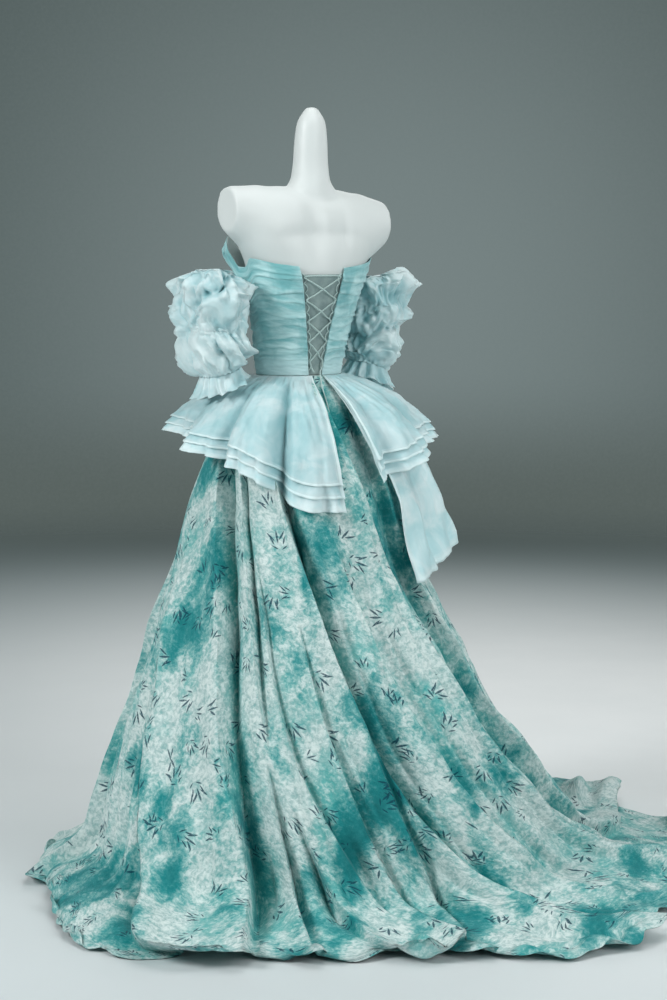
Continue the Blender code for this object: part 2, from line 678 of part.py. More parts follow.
def build_lacing():
    """Rows of rouleau loops on both back edges, and the cord laced over them with free ends."""
    loop_level = BACK_CLEARANCE + LOOP_RADIUS + 0.0002
    for side, inwards in (("left", 1.0), ("right", -1.0)):
        points = []
        for step, height in enumerate(np.linspace(1.352, 1.140, 2 * LOOP_COUNT + 1)):
            reach = 0.0018 + LOOP_REACH * (step % 2)
            points.append(on_back(edge_angle(side, height) + inwards * math.degrees(reach / 0.105), height,
                                  loop_level))
        tube("loops_" + side, "cord", points, LOOP_RADIUS, 1)

    over_loops = loop_level + LOOP_RADIUS + CORD_RADIUS + 0.0005
    over_cord = over_loops + 2.0 * CORD_RADIUS + 0.0010
    reach_in = math.degrees(0.0045 / 0.105)
    strands = ([], [])
    for step, level in enumerate(LACE_LEVELS):
        for number, strand in enumerate(strands):
            side = "left" if (step + number) % 2 == 0 else "right"
            other = "right" if side == "left" else "left"
            inwards = 1.0 if side == "left" else -1.0
            start = edge_angle(side, level) + inwards * reach_in
            strand.append(on_back(start, level, over_loops))
            if step + 1 < len(LACE_LEVELS):
                below = LACE_LEVELS[step + 1]
                end = edge_angle(other, below) - inwards * reach_in
                high = over_cord if (step + number) % 2 == 0 else over_loops
                for share, clearance in ((0.22, over_loops), (0.5, high), (0.78, over_loops)):
                    strand.append(on_back(start + (end - start) * share, level + (below - level) * share,
                                          clearance))
    top_bar = [on_back(edge_angle("left", LACE_LEVELS[0]) + share * (LACED_GAP["right_top"]
                       - LACED_GAP["left_top"]), LACE_LEVELS[0] + 0.003, over_loops) for share in (0.3, 0.5, 0.7)]
    left_end = [on_back(80.0, 1.145, over_loops), on_back(82.0, 1.136, over_loops + 0.004)]
    right_end = [on_back(94.0, 1.145, over_loops), on_back(91.0, 1.136, over_loops + 0.004)]
    right_end += [on_skirt(angle, down, CORD_RADIUS + clearance) for angle, down, clearance in LACE_END]
    route = left_end[::-1] + strands[0][::-1] + top_bar + strands[1] + right_end
    tube("lacing_cord", "cord", smooth_line(route, 76), CORD_RADIUS, 2)


def build_skirt():
    """Eight panels that meet at seams, each a wall on the folded surface."""
    for name, first, last, columns in SKIRT_PANELS:
        angle, down = grid(first, last, columns, SKIRT_ROWS)
        probe = skirt(angle + 0.5, down) - skirt(angle - 0.5, down)
        seam = SKIRT_SEAM + (HEM_SEAM - SKIRT_SEAM) * smooth((down - 0.75) / 0.12)
        shift = seam / 2.0 / np.maximum(np.linalg.norm(probe, axis=-1), 1e-4)
        angle[:, 0] += shift[:, 0]
        angle[:, -1] -= shift[:, -1]
        outer = skirt(angle, down)
        inner = outer - normals(skirt, angle, np.clip(down, 0.003, 0.997)) * SKIRT_CLOTH
        inner[0, :, 2] = outer[0, :, 2]
        inner[..., 2] = np.maximum(inner[..., 2], 0.0)
        outer[0, :, 2] -= SEAM_GAP
        inner[0, :, 2] -= SEAM_GAP
        wall(name, "print", outer, inner)


def organza_wall(name, table, crests, columns, rows, share, at_waist, at_hem, spring=PEPLUM_SPRING):
    angle, run = grid(table[0][0], table[-1][0], columns, rows)
    clearance = at_waist + (at_hem - at_waist) * smooth(run * 1.6)
    inner = organza_fall(table, crests, angle, run, share, clearance, spring)
    outer = organza_fall(table, crests, angle, run, share, clearance + ORGANZA, spring)
    wall(name, "organza", outer, inner)


def build_peplum():
    """Three organza layers on each side, and the long side panel on the wearer's right."""
    rows = (0.0, 0.20, 0.55, 1.0)
    for layer, share, at_waist, at_hem in PEPLUM_LAYERS:
        organza_wall("peplum_left_" + layer, PEPLUM_LEFT, PEPLUM_CRESTS_LEFT, 24, rows, share,
                     PEPLUM_WAIST["left"] + at_waist, at_hem)
        organza_wall("peplum_right_" + layer, PEPLUM_RIGHT, PEPLUM_CRESTS_RIGHT, 25, rows, share,
                     PEPLUM_WAIST["right"] + at_waist, at_hem)
    organza_wall("peplum_side_panel", SIDE_PANEL, SIDE_PANEL_CRESTS, 16, (0.0, 0.12, 0.3, 0.5, 0.75, 1.0), 1.0,
                 PANEL_CLEARANCE, PANEL_CLEARANCE, PANEL_SPRING)


def build_sleeves():
    """Gathered puffs and a cuff frill on each side, open at both ends."""
    heights = column(SLEEVE_AXIS, 0)[::-1]
    for name, rings, gathers, gather_depth in SLEEVE_PIECES:
        sides = 2 * gathers
        turn = np.arange(sides) * 2.0 * math.pi / sides
        outer = []
        for number, (height, half_width, half_depth) in enumerate(rings):
            centre_x = curve(height, heights, column(SLEEVE_AXIS, 1)[::-1])
            centre_y = curve(height, heights, column(SLEEVE_AXIS, 2)[::-1])
            swell = math.sin(math.pi * (number + 0.3) / len(rings)) if name != "cuff_frill" else number / 3.0
            wave = gather_depth * swell * np.cos(gathers * turn)
            across_x = (half_width + wave) * np.cos(turn)
            tilt = CUFF_TILT * float(smooth((1.19 - height) / 0.05)) * across_x
            outer.append(np.stack([centre_x + across_x, centre_y + (half_depth + wave) * np.sin(turn),
                                   height - tilt], axis=-1))
        outer = np.array(outer)
        across = np.roll(outer, -1, axis=1) - np.roll(outer, 1, axis=1)
        along = np.gradient(outer, axis=0)
        inner = outer - unit(np.cross(along, across)) * SLEEVE_CLOTH
        inwards = np.array([LEFT_SLEEVE_IN, 0.0, 0.0])
        tube_wall("sleeve_left_" + name, "organza", outer - inwards, inner - inwards)
        mirror = np.array([-1.0, 1.0, 1.0])
        tube_wall("sleeve_right_" + name, "organza", (outer * mirror)[:, ::-1], (inner * mirror)[:, ::-1])


def main():
    for item in list(bpy.data.objects):
        bpy.data.objects.remove(item, do_unlink=True)
    build_form()
    build_bodice()
    build_lacing()
    build_skirt()
    build_peplum()
    build_sleeves()


if __name__ == "__main__":
    main()
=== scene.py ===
"""Prom dress on a dress form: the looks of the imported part. Metres, +Z up. The front faces -Y and the
wearer's left is +X. Angles run round the form from the wearer's left (0) by the back (90 degrees)."""

import math

import bpy
import numpy as np
from bpy.props import FloatProperty, FloatVectorProperty, PointerProperty
from mathutils import Matrix


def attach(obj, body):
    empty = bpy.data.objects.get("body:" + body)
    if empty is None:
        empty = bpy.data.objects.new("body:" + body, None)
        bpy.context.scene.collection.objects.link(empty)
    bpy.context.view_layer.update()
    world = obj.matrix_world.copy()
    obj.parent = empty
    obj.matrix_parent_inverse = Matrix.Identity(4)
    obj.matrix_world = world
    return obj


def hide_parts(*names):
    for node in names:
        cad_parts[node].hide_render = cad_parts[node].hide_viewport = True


bl_info = {
    "name": "Prom dress on a dress form",
    "version": (1, 0, 0),
    "blender": (4, 5, 0),
    "location": "View3D > Sidebar > Prom Dress",
    "description": "Printed skirt with a train, ruched bodice, organza sleeves and peplums, and the form",
    "category": "Object",
}

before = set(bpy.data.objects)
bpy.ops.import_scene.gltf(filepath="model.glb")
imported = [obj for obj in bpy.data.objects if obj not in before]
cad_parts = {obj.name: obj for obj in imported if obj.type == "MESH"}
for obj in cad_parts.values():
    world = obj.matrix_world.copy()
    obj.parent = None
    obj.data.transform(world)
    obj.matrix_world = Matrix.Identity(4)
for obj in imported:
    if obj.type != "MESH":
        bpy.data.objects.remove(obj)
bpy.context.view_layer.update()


def srgb(red, green, blue):
    """Linear colour of an 8-bit display colour."""
    parts = np.array([red, green, blue]) / 255.0
    linear = np.where(parts <= 0.04045, parts / 12.92, ((parts + 0.055) / 1.055) ** 2.4)
    return (float(linear[0]), float(linear[1]), float(linear[2]), 1.0)


# Sizes of the form and the cut
WAIST_HEIGHT = 1.128
WAIST_CENTRE_Y = -0.027
FORM_TOP = 1.712
NECK_TIP_Y = 0.028
NECK_CAP = ((0.372, 1.711), (0.180, FORM_TOP))  # share of the neck's width, height
SHOULDER_SPAN = 0.400
RIGHT_SHOULDER_DROP = 0.032
SEAM_GAP = 0.0003
BACK_CLEARANCE = 0.0030
SKIRT_RISE = 0.0020
HEM_LIFT = 0.0016
SIDE_SEAM = -22.0

TORSO_SECTIONS = (
    # height, half width, half depth, centre y
    (0.930, 0.118, 0.098, -0.008),
    (0.990, 0.122, 0.102, -0.008),
    (1.050, 0.112, 0.094, -0.016),
    (1.128, 0.0955, 0.0760, WAIST_CENTRE_Y),
    (1.200, 0.1040, 0.0830, -0.021),
    (1.290, 0.1235, 0.0960, -0.010),
    (1.350, 0.1380, 0.0980, 0.002),
    (1.384, 0.1520, 0.0950, 0.006),
    (1.410, 0.1680, 0.0890, 0.009),
    (1.440, 0.1840, 0.0780, 0.012),
    (1.475, 0.1700, 0.0640, 0.015),
    (1.512, 0.0900, 0.0540, 0.018),
    (1.545, 0.0480, 0.0480, 0.021),
    (1.580, 0.0400, 0.0400, 0.023),
    (1.640, 0.0360, 0.0360, 0.025),
    (1.685, 0.0290, 0.0290, 0.027),
    (1.704, 0.0170, 0.0170, 0.028),
)
BUST = {"height": 1.285, "spread": 0.050, "angle": 32.0, "width": 26.0, "rise": 0.22}
YOKE_SECTIONS = (
    # share of half span, centre height, half height, half depth, centre y
    (0.00, 1.450, 0.088, 0.078, 0.014),
    (0.35, 1.456, 0.085, 0.074, 0.013),
    (0.60, 1.457, 0.085, 0.066, 0.010),
    (0.80, 1.473, 0.068, 0.055, 0.006),
    (1.00, 1.491, 0.049, 0.045, 0.002),
)
BACK_RELIEF = (
    # x, height, half width, half height, how far the surface stands out: spine groove and shoulder blades
    (0.030, 1.450, 0.022, 0.070, -0.006),
    (-0.088, 1.430, 0.038, 0.050, 0.007),
    (0.125, 1.430, 0.038, 0.050, 0.006),
    (-0.048, 1.430, 0.012, 0.045, -0.003),
)
NECKLINE = (
    # angle, height, how far the edge stands off the form
    (-90.0, 1.352, 0.006),
    (-60.0, 1.372, 0.010),
    (-45.0, 1.408, 0.024),
    (-34.0, 1.432, 0.029),
    (-25.0, 1.426, 0.033),
    (-18.0, 1.402, 0.029),
    (-11.0, 1.366, 0.017),
    (-2.0, 1.366, 0.008),
    (12.0, 1.385, 0.004),
    (40.0, 1.374, 0.003),
    (90.0, 1.360, 0.003),
)
RUCHES = (
    # share of the way down, slant towards the lacing, width above the fold, strength
    (0.09, 0.03, 0.030, 0.55),
    (0.16, 0.10, 0.035, 0.80),
    (0.22, -0.05, 0.030, 0.70),
    (0.30, 0.12, 0.045, 1.00),
    (0.36, 0.02, 0.030, 0.60),
    (0.43, -0.08, 0.040, 0.85),
    (0.50, 0.09, 0.040, 1.00),
    (0.56, 0.00, 0.028, 0.70),
    (0.62, -0.07, 0.034, 0.90),
    (0.68, 0.06, 0.030, 0.80),
    (0.74, -0.03, 0.028, 0.95),
    (0.80, 0.04, 0.026, 0.80),
    (0.85, -0.04, 0.024, 0.70),
    (0.93, 0.01, 0.050, 0.35),
)
BODICE_RADIUS = 0.11
BODICE_HEIGHT = 0.24
BODICE_ROWS = 124
COVER_CLOTH = 0.0016
FRONT_SNUG = {"width": 50.0, "depth": 0.0015}
LINING = {"rows": 24, "gap": 0.0005, "cloth": 0.0008}
LACED_GAP = {"left_top": 61.0, "left_foot": 77.0, "right_top": 104.0, "right_foot": 96.0}
MODESTY = {"low": 55.0, "high": 112.0, "clearance": 0.0006, "cloth": 0.0010, "top": 1.350, "foot": 1.1285}
BACK_RADIUS = 0.105
LOOP_COUNT = 10
LOOP_ROW = {"top": 1.352, "foot": 1.140, "stand": 0.0018, "reach": 0.0060}
LACE_REACH = 0.0045
LACE_TUCK = 1.136
LACE_LEVELS = (1.344, 1.294, 1.247, 1.202, 1.158)
LACE_END = (
    # angle round the form, share of the way down the skirt, clearance
    (88.5, 0.03, 0.0040),
    (87.5, 0.08, 0.0020),
    (87.0, 0.13, 0.0012),
    (86.5, 0.17, 0.0012),
)

SKIRT_RINGS = (
    # height, radius where the hem is short, radius where the train is long
    (1.060, 0.150, 0.140),
    (0.950, 0.213, 0.185),
    (0.820, 0.262, 0.220),
    (0.690, 0.306, 0.262),
    (0.510, 0.370, 0.355),
    (0.340, 0.428, 0.470),
    (0.200, 0.474, 0.572),
    (0.085, 0.520, 0.685),
)
HEM_LINE = (
    # angle, distance of the hem from the axis
    (0.0, 0.655),
    (19.0, 0.745),
    (34.0, 0.765),
    (49.0, 0.715),
    (64.0, 0.700),
    (82.0, 0.755),
    (95.0, 0.865),
    (106.0, 0.905),
    (118.0, 0.890),
    (130.0, 0.960),
    (142.0, 1.085),
    (152.0, 1.130),
    (163.0, 1.060),
    (174.0, 0.970),
    (182.0, 0.990),
    (191.0, 1.055),
    (203.0, 1.000),
    (218.0, 0.820),
    (236.0, 0.690),
    (262.0, 0.600),
    (300.0, 0.600),
    (321.0, 0.635),
    (340.0, 0.625),
)
SHORT_HEM = 0.64
LONG_HEM = 1.08
SKIRT_DRAG = (
    # hem angle, turn of the cloth at the waist and halfway down
    (0.0, -38.0, -22.0),
    (33.0, -58.0, -29.0),
    (52.0, -60.0, -18.0),
    (61.0, -57.0, -20.0),
    (86.0, -70.0, -31.0),
    (112.0, -83.0, -42.0),
    (150.0, -80.0, -46.0),
    (175.0, -69.0, -57.0),
    (200.0, -50.0, -39.0),
    (230.0, -18.0, -11.0),
    (270.0, -6.0, -4.0),
    (300.0, -7.0, -4.0),
    (335.0, -25.0, -17.0),
)
SKIRT_FOLDS = (
    # angle at the hem, start (0 waist to 1 hem), depth at the hem, half width in degrees
    (12.0, 0.34, 0.034, 4.4),
    (42.0, 0.30, 0.012, 4.0),
    (72.0, 0.55, 0.034, 3.6),
    (87.0, 0.50, 0.026, 4.0),
    (99.0, 0.50, 0.026, 3.6),
    (125.0, 0.50, 0.034, 3.8),
    (137.0, 0.18, 0.030, 4.4),
    (148.0, 0.40, 0.026, 3.6),
    (190.0, 0.30, 0.044, 5.4),
    (222.0, 0.30, 0.046, 5.6),
    (256.0, 0.32, 0.040, 5.6),
    (290.0, 0.34, 0.036, 5.4),
    (323.0, 0.30, 0.034, 5.4),
    (355.0, 0.28, 0.034, 5.0),
)
CREASES = (
    # side the valley lies on, start, end, depth at the hem, width of the valley in degrees,
    # angles at the waist, a quarter, half and three quarters down, and at the hem
    (1, 0.02, 1.5, 0.088, 5.0, 46.0, 47.0, 48.8, 51.0, 49.0),
    (-1, 0.30, 1.5, 0.095, 6.0, 21.0, 24.0, 28.0, 31.5, 37.0),
    (1, 0.12, 0.46, 0.050, 4.0, 58.0, 60.0, 63.0, 66.0, 68.0),
    (1, 0.36, 0.72, 0.034, 5.0, 66.0, 67.0, 72.0, 84.0, 90.0),
    (1, 0.60, 1.5, 0.070, 3.2, 60.0, 61.0, 62.0, 62.5, 61.5),
    (-1, 0.66, 1.5, 0.055, 3.0, 66.0, 67.0, 68.0, 72.0, 76.0),
    (1, 0.02, 1.5, 0.092, 6.0, 105.0, 107.0, 113.0, 115.0, 114.5),
    (1, 0.56, 1.5, 0.050, 3.6, 112.0, 112.0, 113.5, 105.0, 80.0),
    (1, 0.44, 1.5, 0.040, 3.4, 92.0, 92.0, 96.0, 94.0, 88.0),
    (1, 0.02, 1.5, 0.090, 7.0, 157.0, 155.0, 157.5, 158.0, 160.0),
    (1, 0.34, 1.5, 0.048, 4.2, 128.0, 129.0, 132.0, 133.0, 131.0),
    (-1, 0.10, 1.5, 0.060, 5.0, 176.0, 177.0, 178.0, 181.0, 184.0),
    (1, 0.06, 1.5, 0.060, 5.5, 204.0, 204.0, 205.0, 206.0, 207.0),
    (-1, 0.05, 1.5, 0.056, 5.8, 240.0, 240.0, 239.0, 238.0, 238.0),
    (1, 0.05, 1.5, 0.052, 5.4, 272.0, 272.0, 273.0, 274.0, 275.0),
    (-1, 0.05, 1.5, 0.054, 5.6, 308.0, 308.0, 307.0, 306.0, 306.0),
    (1, 0.05, 1.5, 0.048, 5.4, 337.0, 337.0, 339.0, 340.0, 341.0),
)
FINE_FOLDS = (
    # angle at the hem, start, depth at the hem, half width in degrees
    (5.0, 0.45, 0.018, 1.6),
    (18.5, 0.35, 0.020, 1.8),
    (24.0, 0.60, 0.018, 1.5),
    (37.5, 0.40, 0.012, 1.6),
    (44.5, 0.55, 0.012, 1.4),
    (56.5, 0.55, 0.018, 1.6),
    (77.5, 0.62, 0.020, 1.7),
    (82.0, 0.70, 0.016, 1.4),
    (93.0, 0.60, 0.018, 1.8),
    (102.5, 0.55, 0.020, 1.8),
    (108.6, 0.62, 0.015, 1.4),
    (121.5, 0.30, 0.020, 1.6),
    (129.5, 0.35, 0.020, 1.7),
    (141.0, 0.30, 0.022, 1.7),
    (152.0, 0.42, 0.018, 1.6),
    (165.5, 0.40, 0.020, 1.8),
    (171.0, 0.55, 0.016, 1.6),
    (181.5, 0.40, 0.020, 1.8),
    (187.0, 0.60, 0.016, 1.6),
    (197.0, 0.40, 0.019, 2.2),
    (213.0, 0.35, 0.019, 2.2),
    (230.5, 0.40, 0.017, 2.2),
    (247.5, 0.45, 0.017, 2.2),
    (264.0, 0.38, 0.017, 2.2),
    (281.5, 0.42, 0.017, 2.2),
    (298.0, 0.36, 0.016, 2.2),
    (315.0, 0.44, 0.017, 2.2),
    (331.0, 0.40, 0.016, 2.2),
    (347.5, 0.46, 0.016, 2.0),
)
HEM_CURLS = (
    # hem angle, share of the way down, lift, half width in degrees, half width down
    (194.0, 0.945, 0.052, 3.0, 0.030),
    (186.0, 0.975, 0.030, 2.4, 0.030),
    (171.0, 0.985, 0.018, 3.0, 0.022),
    (158.0, 0.990, 0.014, 3.4, 0.020),
    (146.0, 0.985, 0.020, 2.4, 0.018),
    (131.0, 0.975, 0.024, 2.6, 0.030),
    (118.0, 0.960, 0.020, 3.0, 0.040),
    (103.0, 0.985, 0.022, 2.0, 0.020),
    (93.0, 0.985, 0.016, 1.8, 0.018),
    (78.0, 0.975, 0.030, 1.8, 0.024),
    (59.5, 0.980, 0.022, 1.8, 0.022),
    (43.0, 0.995, 0.010, 2.6, 0.014),
    (17.0, 0.980, 0.024, 2.4, 0.024),
    (2.0, 0.960, 0.030, 2.4, 0.030),
    (-9.0, 0.975, 0.024, 2.6, 0.026),
    (214.0, 0.980, 0.022, 2.6, 0.024),
    (248.0, 0.980, 0.020, 2.6, 0.024),
    (283.0, 0.980, 0.020, 2.6, 0.024),
    (317.0, 0.980, 0.022, 2.6, 0.024),
)
SKIRT_PANELS = (
    # name, first and last angle at the hem, columns
    ("skirt_left_side", -12.0, 52.0, 130),
    ("skirt_left_back", 52.0, 112.0, 136),
    ("skirt_back", 112.0, 150.0, 90),
    ("skirt_train", 150.0, 190.0, 84),
    ("skirt_right_side", 190.0, 232.0, 60),
    ("skirt_right_front", 232.0, 271.0, 44),
    ("skirt_front", 271.0, 310.0, 44),
    ("skirt_left_front", 310.0, 348.0, 44),
)
SKIRT_ROW_COUNT = 156

PEPLUM_LEFT = (
    # angle, length of the longest layer, slope below level in degrees
    (-70.0, 0.200, 46.0),
    (-48.0, 0.215, 38.0),
    (-30.0, 0.222, 36.0),
    (-8.0, 0.232, 41.0),
    (16.0, 0.252, 44.0),
    (38.0, 0.285, 46.0),
    (60.0, 0.340, 54.0),
    (80.0, 0.350, 55.0),
)
PEPLUM_RIGHT = (
    (95.0, 0.300, 49.0),
    (112.0, 0.290, 45.0),
    (135.0, 0.260, 39.0),
    (152.0, 0.244, 38.0),
    (180.0, 0.232, 41.0),
    (210.0, 0.222, 36.0),
    (230.0, 0.215, 38.0),
    (250.0, 0.200, 46.0),
)
FLUTES_LEFT = (
    # angle, how far the cloth stands out at the hem, half width in degrees
    (-62.0, 0.018, 6.5),
    (-47.0, -0.026, 5.0),
    (-38.0, 0.006, 2.6),
    (-30.0, 0.020, 6.0),
    (-13.0, -0.030, 4.6),
    (-4.0, 0.008, 2.5),
    (4.0, 0.020, 5.5),
    (11.0, -0.008, 2.0),
    (21.0, -0.036, 4.2),
    (29.0, 0.010, 2.6),
    (37.0, 0.018, 5.5),
    (44.0, 0.010, 2.2),
    (52.0, -0.060, 3.6),
    (58.0, 0.014, 2.2),
    (65.0, 0.018, 5.5),
    (70.5, -0.008, 1.8),
    (77.5, -0.014, 3.6),
)
FLUTES_RIGHT = (
    (96.0, 0.014, 4.0),
    (105.0, -0.026, 4.0),
    (112.0, 0.008, 2.2),
    (119.0, 0.020, 5.5),
    (126.0, 0.006, 2.2),
    (133.0, -0.030, 4.4),
    (141.0, 0.008, 2.6),
    (150.0, 0.018, 5.5),
    (158.0, -0.008, 2.2),
    (166.0, -0.026, 4.4),
    (183.0, 0.020, 6.0),
    (191.0, 0.006, 2.6),
    (200.0, -0.026, 4.6),
    (217.0, 0.018, 6.0),
    (225.0, -0.006, 2.6),
    (233.0, -0.024, 4.6),
    (248.0, 0.012, 4.5),
)
PEPLUM_LAYERS = (
    # name, share of the longest layer, clearance over the lowest at the waist, clearance at the hem
    ("under", 1.00, 0.0000, 0.0100),
    ("middle", 0.93, 0.0014, 0.0150),
    ("upper", 0.86, 0.0028, 0.0200),
)
PEPLUM_WAIST = {"left": 0.0025, "right": 0.0041}
PEPLUM_SPRING = (0.72, 0.22)
PANEL_SPRING = (0.50, 0.45)
PANEL_CLEARANCE = 0.0026
SIDE_PANEL = (
    # angle, length, slope below level
    (108.0, 0.500, 62.5),
    (122.0, 0.485, 60.0),
    (140.0, 0.450, 57.0),
    (155.0, 0.400, 56.0),
    (172.0, 0.330, 56.0),
    (190.0, 0.270, 58.0),
)
SIDE_PANEL_FLUTES = (
    (112.0, 0.014, 6.0),
    (124.0, -0.014, 5.0),
    (138.0, 0.016, 7.0),
    (152.0, -0.014, 5.0),
    (170.0, 0.014, 7.0),
)

SLEEVE_AXIS = (
    # height, x, y
    (1.352, 0.2106, -0.050),
    (1.260, 0.2106, -0.050),
    (1.160, 0.196, -0.044),
    (1.080, 0.188, -0.040),
)
SLEEVE_PIECES = (
    # name, rows of (height, half width, half depth), gathers, gather depth, crumple depth, rows of points
    ("upper_puff", ((1.330, 0.030, 0.056), (1.345, 0.036, 0.064), (1.351, 0.047, 0.078),
                    (1.346, 0.057, 0.092), (1.331, 0.064, 0.102), (1.300, 0.067, 0.106),
                    (1.264, 0.066, 0.104), (1.236, 0.062, 0.098), (1.2160, 0.055, 0.086)),
     26, 0.0030, 0.026, 72),
    ("lower_puff", ((1.2157, 0.055, 0.086), (1.198, 0.057, 0.088), (1.172, 0.054, 0.080),
                    (1.150, 0.045, 0.065), (1.138, 0.037, 0.052)), 26, 0.0030, 0.026, 52),
    ("cuff_frill", ((1.1377, 0.038, 0.054), (1.126, 0.042, 0.058), (1.114, 0.047, 0.064),
                    (1.104, 0.051, 0.069)), 13, 0.0080, 0.008, 26),
)
SLEEVE_WAVES = (
    # height, spread, rise, waves round the arm, start in radians
    (1.216, 0.045, 0.016, 1.0, 1.0),
    (1.350, 0.025, 0.009, 2.0, 0.0),
)
SLEEVE_COLUMNS = 156
SLEEVE_SEAM = 1.2158
SLEEVE_CLOTH = 0.0012
CUFF_TILT = 0.36
LEFT_SLEEVE_IN = 0.0012
MIRROR = np.array([-1.0, 1.0, 1.0])

FLOOR_RADII = np.array([1.0, 2.0, 3.0, 4.0, 5.0, 6.0, 8.0, 10.0, 14.0, 20.0])
FLOOR_LEVEL = -0.0005
# The floor is painted: a pool of light round this place in the lit tone, and darker further out in the far tone.
FLOOR_LIGHT = (-2.2, -1.2, 0.0)
FLOOR_TONES = {"lit": srgb(252, 255, 255), "away": srgb(200, 209, 211), "grain": srgb(212, 220, 222),
               "far": srgb(150, 162, 163)}
BACKDROP = {"radius": 14.0, "first": 150.0, "last": 320.0, "low": -10.5, "high": 15.7}
GLOW_CENTRE = (-7.95, -11.53, 0.85)
ROOM_TONES = {"glow": srgb(118, 131, 131), "edge": srgb(80, 92, 91), "low": srgb(88, 98, 95),
              "grain": srgb(140, 150, 150), "air": srgb(112, 125, 125)}
ROOM_LIGHT = 0.45
LAMPS = (
    # name, place, size, watts, what it faces
    ("Key", (4.0, 0.2, 2.9), 1.3, 128.0, (0.0, 0.0, 0.8)),
    ("Fill", (-0.8, 4.8, 2.6), 2.4, 108.0, (0.0, 0.0, 0.7)),
    ("Top", (-0.4, 0.9, 4.2), 3.0, 60.0, (0.0, 0.2, 0.0)),
    ("Front", (-2.5, -3.6, 2.6), 2.6, 40.0, (0.0, 0.0, 0.8)),
    ("Side", (-2.4, 1.2, 1.9), 0.8, 9.0, (-0.2, -0.05, 1.25)),
)
CAMERA_PLACE = (2.6496, 4.2402, 1.45)
CAMERA_RIGHT = (-0.8413, 0.5406, 0.0)
CAMERA_FORWARD = (-0.5367, -0.8352, -0.1200)
CAMERA_LENS = 81.0


def curve(x, knots, values):
    """Smooth curve through the knots: cubic spans, level where the values turn."""
    x = np.asarray(x, float)
    knots = np.asarray(knots, float)
    values = np.asarray(values, float)
    slope = np.diff(values) / np.diff(knots)
    inner = np.where(slope[:-1] * slope[1:] > 0.0, (slope[:-1] + slope[1:]) / 2.0, 0.0)
    tangent = np.concatenate([slope[:1], inner, slope[-1:]])
    span = np.clip(np.searchsorted(knots, x) - 1, 0, len(knots) - 2)
    width = knots[span + 1] - knots[span]
    t = np.clip((x - knots[span]) / width, 0.0, 1.0)
    return (values[span] * (1.0 + 2.0 * t) * (1.0 - t) ** 2 + values[span + 1] * t * t * (3.0 - 2.0 * t)
            + width * (tangent[span] * t * (1.0 - t) ** 2 - tangent[span + 1] * t * t * (1.0 - t)))


def column(table, index):
    """One column of a table."""
    return np.array([row[index] for row in table])


def ring_curve(angle, table, index):
    """Smooth curve of a table that runs all the way round."""
    angles, values = column(table, 0), column(table, index)
    angles = np.concatenate([angles[-2:] - 360.0, angles, angles[:2] + 360.0])
    values = np.concatenate([values[-2:], values, values[:2]])
    return curve(np.mod(angle, 360.0), angles, values)


def smooth(t):
    """Rise from 0 to 1 with t that is level at both ends: t squared times 3 - 2t."""
    t = np.clip(t, 0.0, 1.0)
    return t * t * (3.0 - 2.0 * t)


def bell(away, width, power=2.0):
    """1 in the middle, and 1/e at the width on both sides."""
    return np.exp(-np.abs(away / width) ** power)


def turned(angle):
    """Difference of angles folded to -180..180 degrees."""
    return np.mod(angle + 180.0, 360.0) - 180.0


def unit(vectors):
    """Vectors brought to a length of 1."""
    return vectors / np.maximum(np.linalg.norm(vectors, axis=-1, keepdims=True), 1e-9)


def outwards(line):
    """Level directions from the waist's axis to the points of a line."""
    return unit(line * [1.0, 1.0, 0.0] - [0.0, WAIST_CENTRE_Y, 0.0])


def run_along(line):
    """Distance of each point of a line from its start, along the line."""
    return np.concatenate([[0.0], np.cumsum(np.linalg.norm(np.diff(line, axis=0), axis=1))])


def cloud(points, size, seed):
    """Soft random values from 0 to 1: random numbers on a lattice, blended smoothly between its corners."""
    count = 32
    table = np.random.default_rng(seed).random((count, count, count))
    place = np.asarray(points, float) / size + 7.3
    whole = np.floor(place).astype(int)
    part = smooth(place - whole)
    value = np.zeros(place.shape[:-1])
    for corner in np.ndindex(2, 2, 2):
        weight = np.prod(np.where(np.array(corner), part, 1.0 - part), axis=-1)
        index = np.mod(whole + np.array(corner), count)
        value = value + weight * table[index[..., 0], index[..., 1], index[..., 2]]
    return value


def sway(points, size, seed):
    """Soft random values from -0.5 to 0.5."""
    return cloud(points, size, seed) - 0.5


def shaken(points, size, seeds):
    """Soft random vectors, with one seed for each axis."""
    return np.stack([sway(points, size, seed) for seed in seeds], axis=-1)


def ridges(points, size, seed):
    """Sharp creases with soft hollows between them: a folded cloud, 1 on a crease and 0 in a hollow."""
    return np.clip(1.0 - 3.6 * np.abs(sway(points, size, seed)), 0.0, 1.0) ** 1.4


def grid_normals(points, wrap=False):
    """Outward normals of a grid of points whose rows run down and columns to rising angles."""
    if wrap:
        across = np.roll(points, -1, axis=1) - np.roll(points, 1, axis=1)
    else:
        across = np.gradient(points, axis=1)
    along = np.gradient(points, axis=0)
    return unit(np.cross(along, across))


def normals(surface, angle, down):
    """Outward normals of a surface of (angle, down), from small steps both ways."""
    across = surface(angle + 0.05, down) - surface(angle - 0.05, down)
    along = surface(angle, down + 0.002) - surface(angle, down - 0.002)
    return unit(np.cross(along, across))


def torso(angle, height, clearance=0.0):
    """Point of the body: an oval section at each height, swelled at the bust, moved out by the clearance."""
    angle, height = np.broadcast_arrays(np.asarray(angle, float), np.asarray(height, float))
    half_width, half_depth, centre_y = (
        curve(height, column(TORSO_SECTIONS, 0), column(TORSO_SECTIONS, k)) for k in (1, 2, 3))
    beat = bell(turned(angle + 90.0 - BUST["angle"]), BUST["width"])
    beat = beat + bell(turned(angle + 90.0 + BUST["angle"]), BUST["width"])
    swell = 1.0 + BUST["rise"] * beat * bell(height - BUST["height"], BUST["spread"])
    turn = np.radians(angle)
    return np.stack([(half_width + clearance) * np.cos(turn) * (1.0 + 0.3 * (swell - 1.0)),
                     centre_y + (half_depth + clearance) * np.sin(turn) * swell, height], axis=-1)


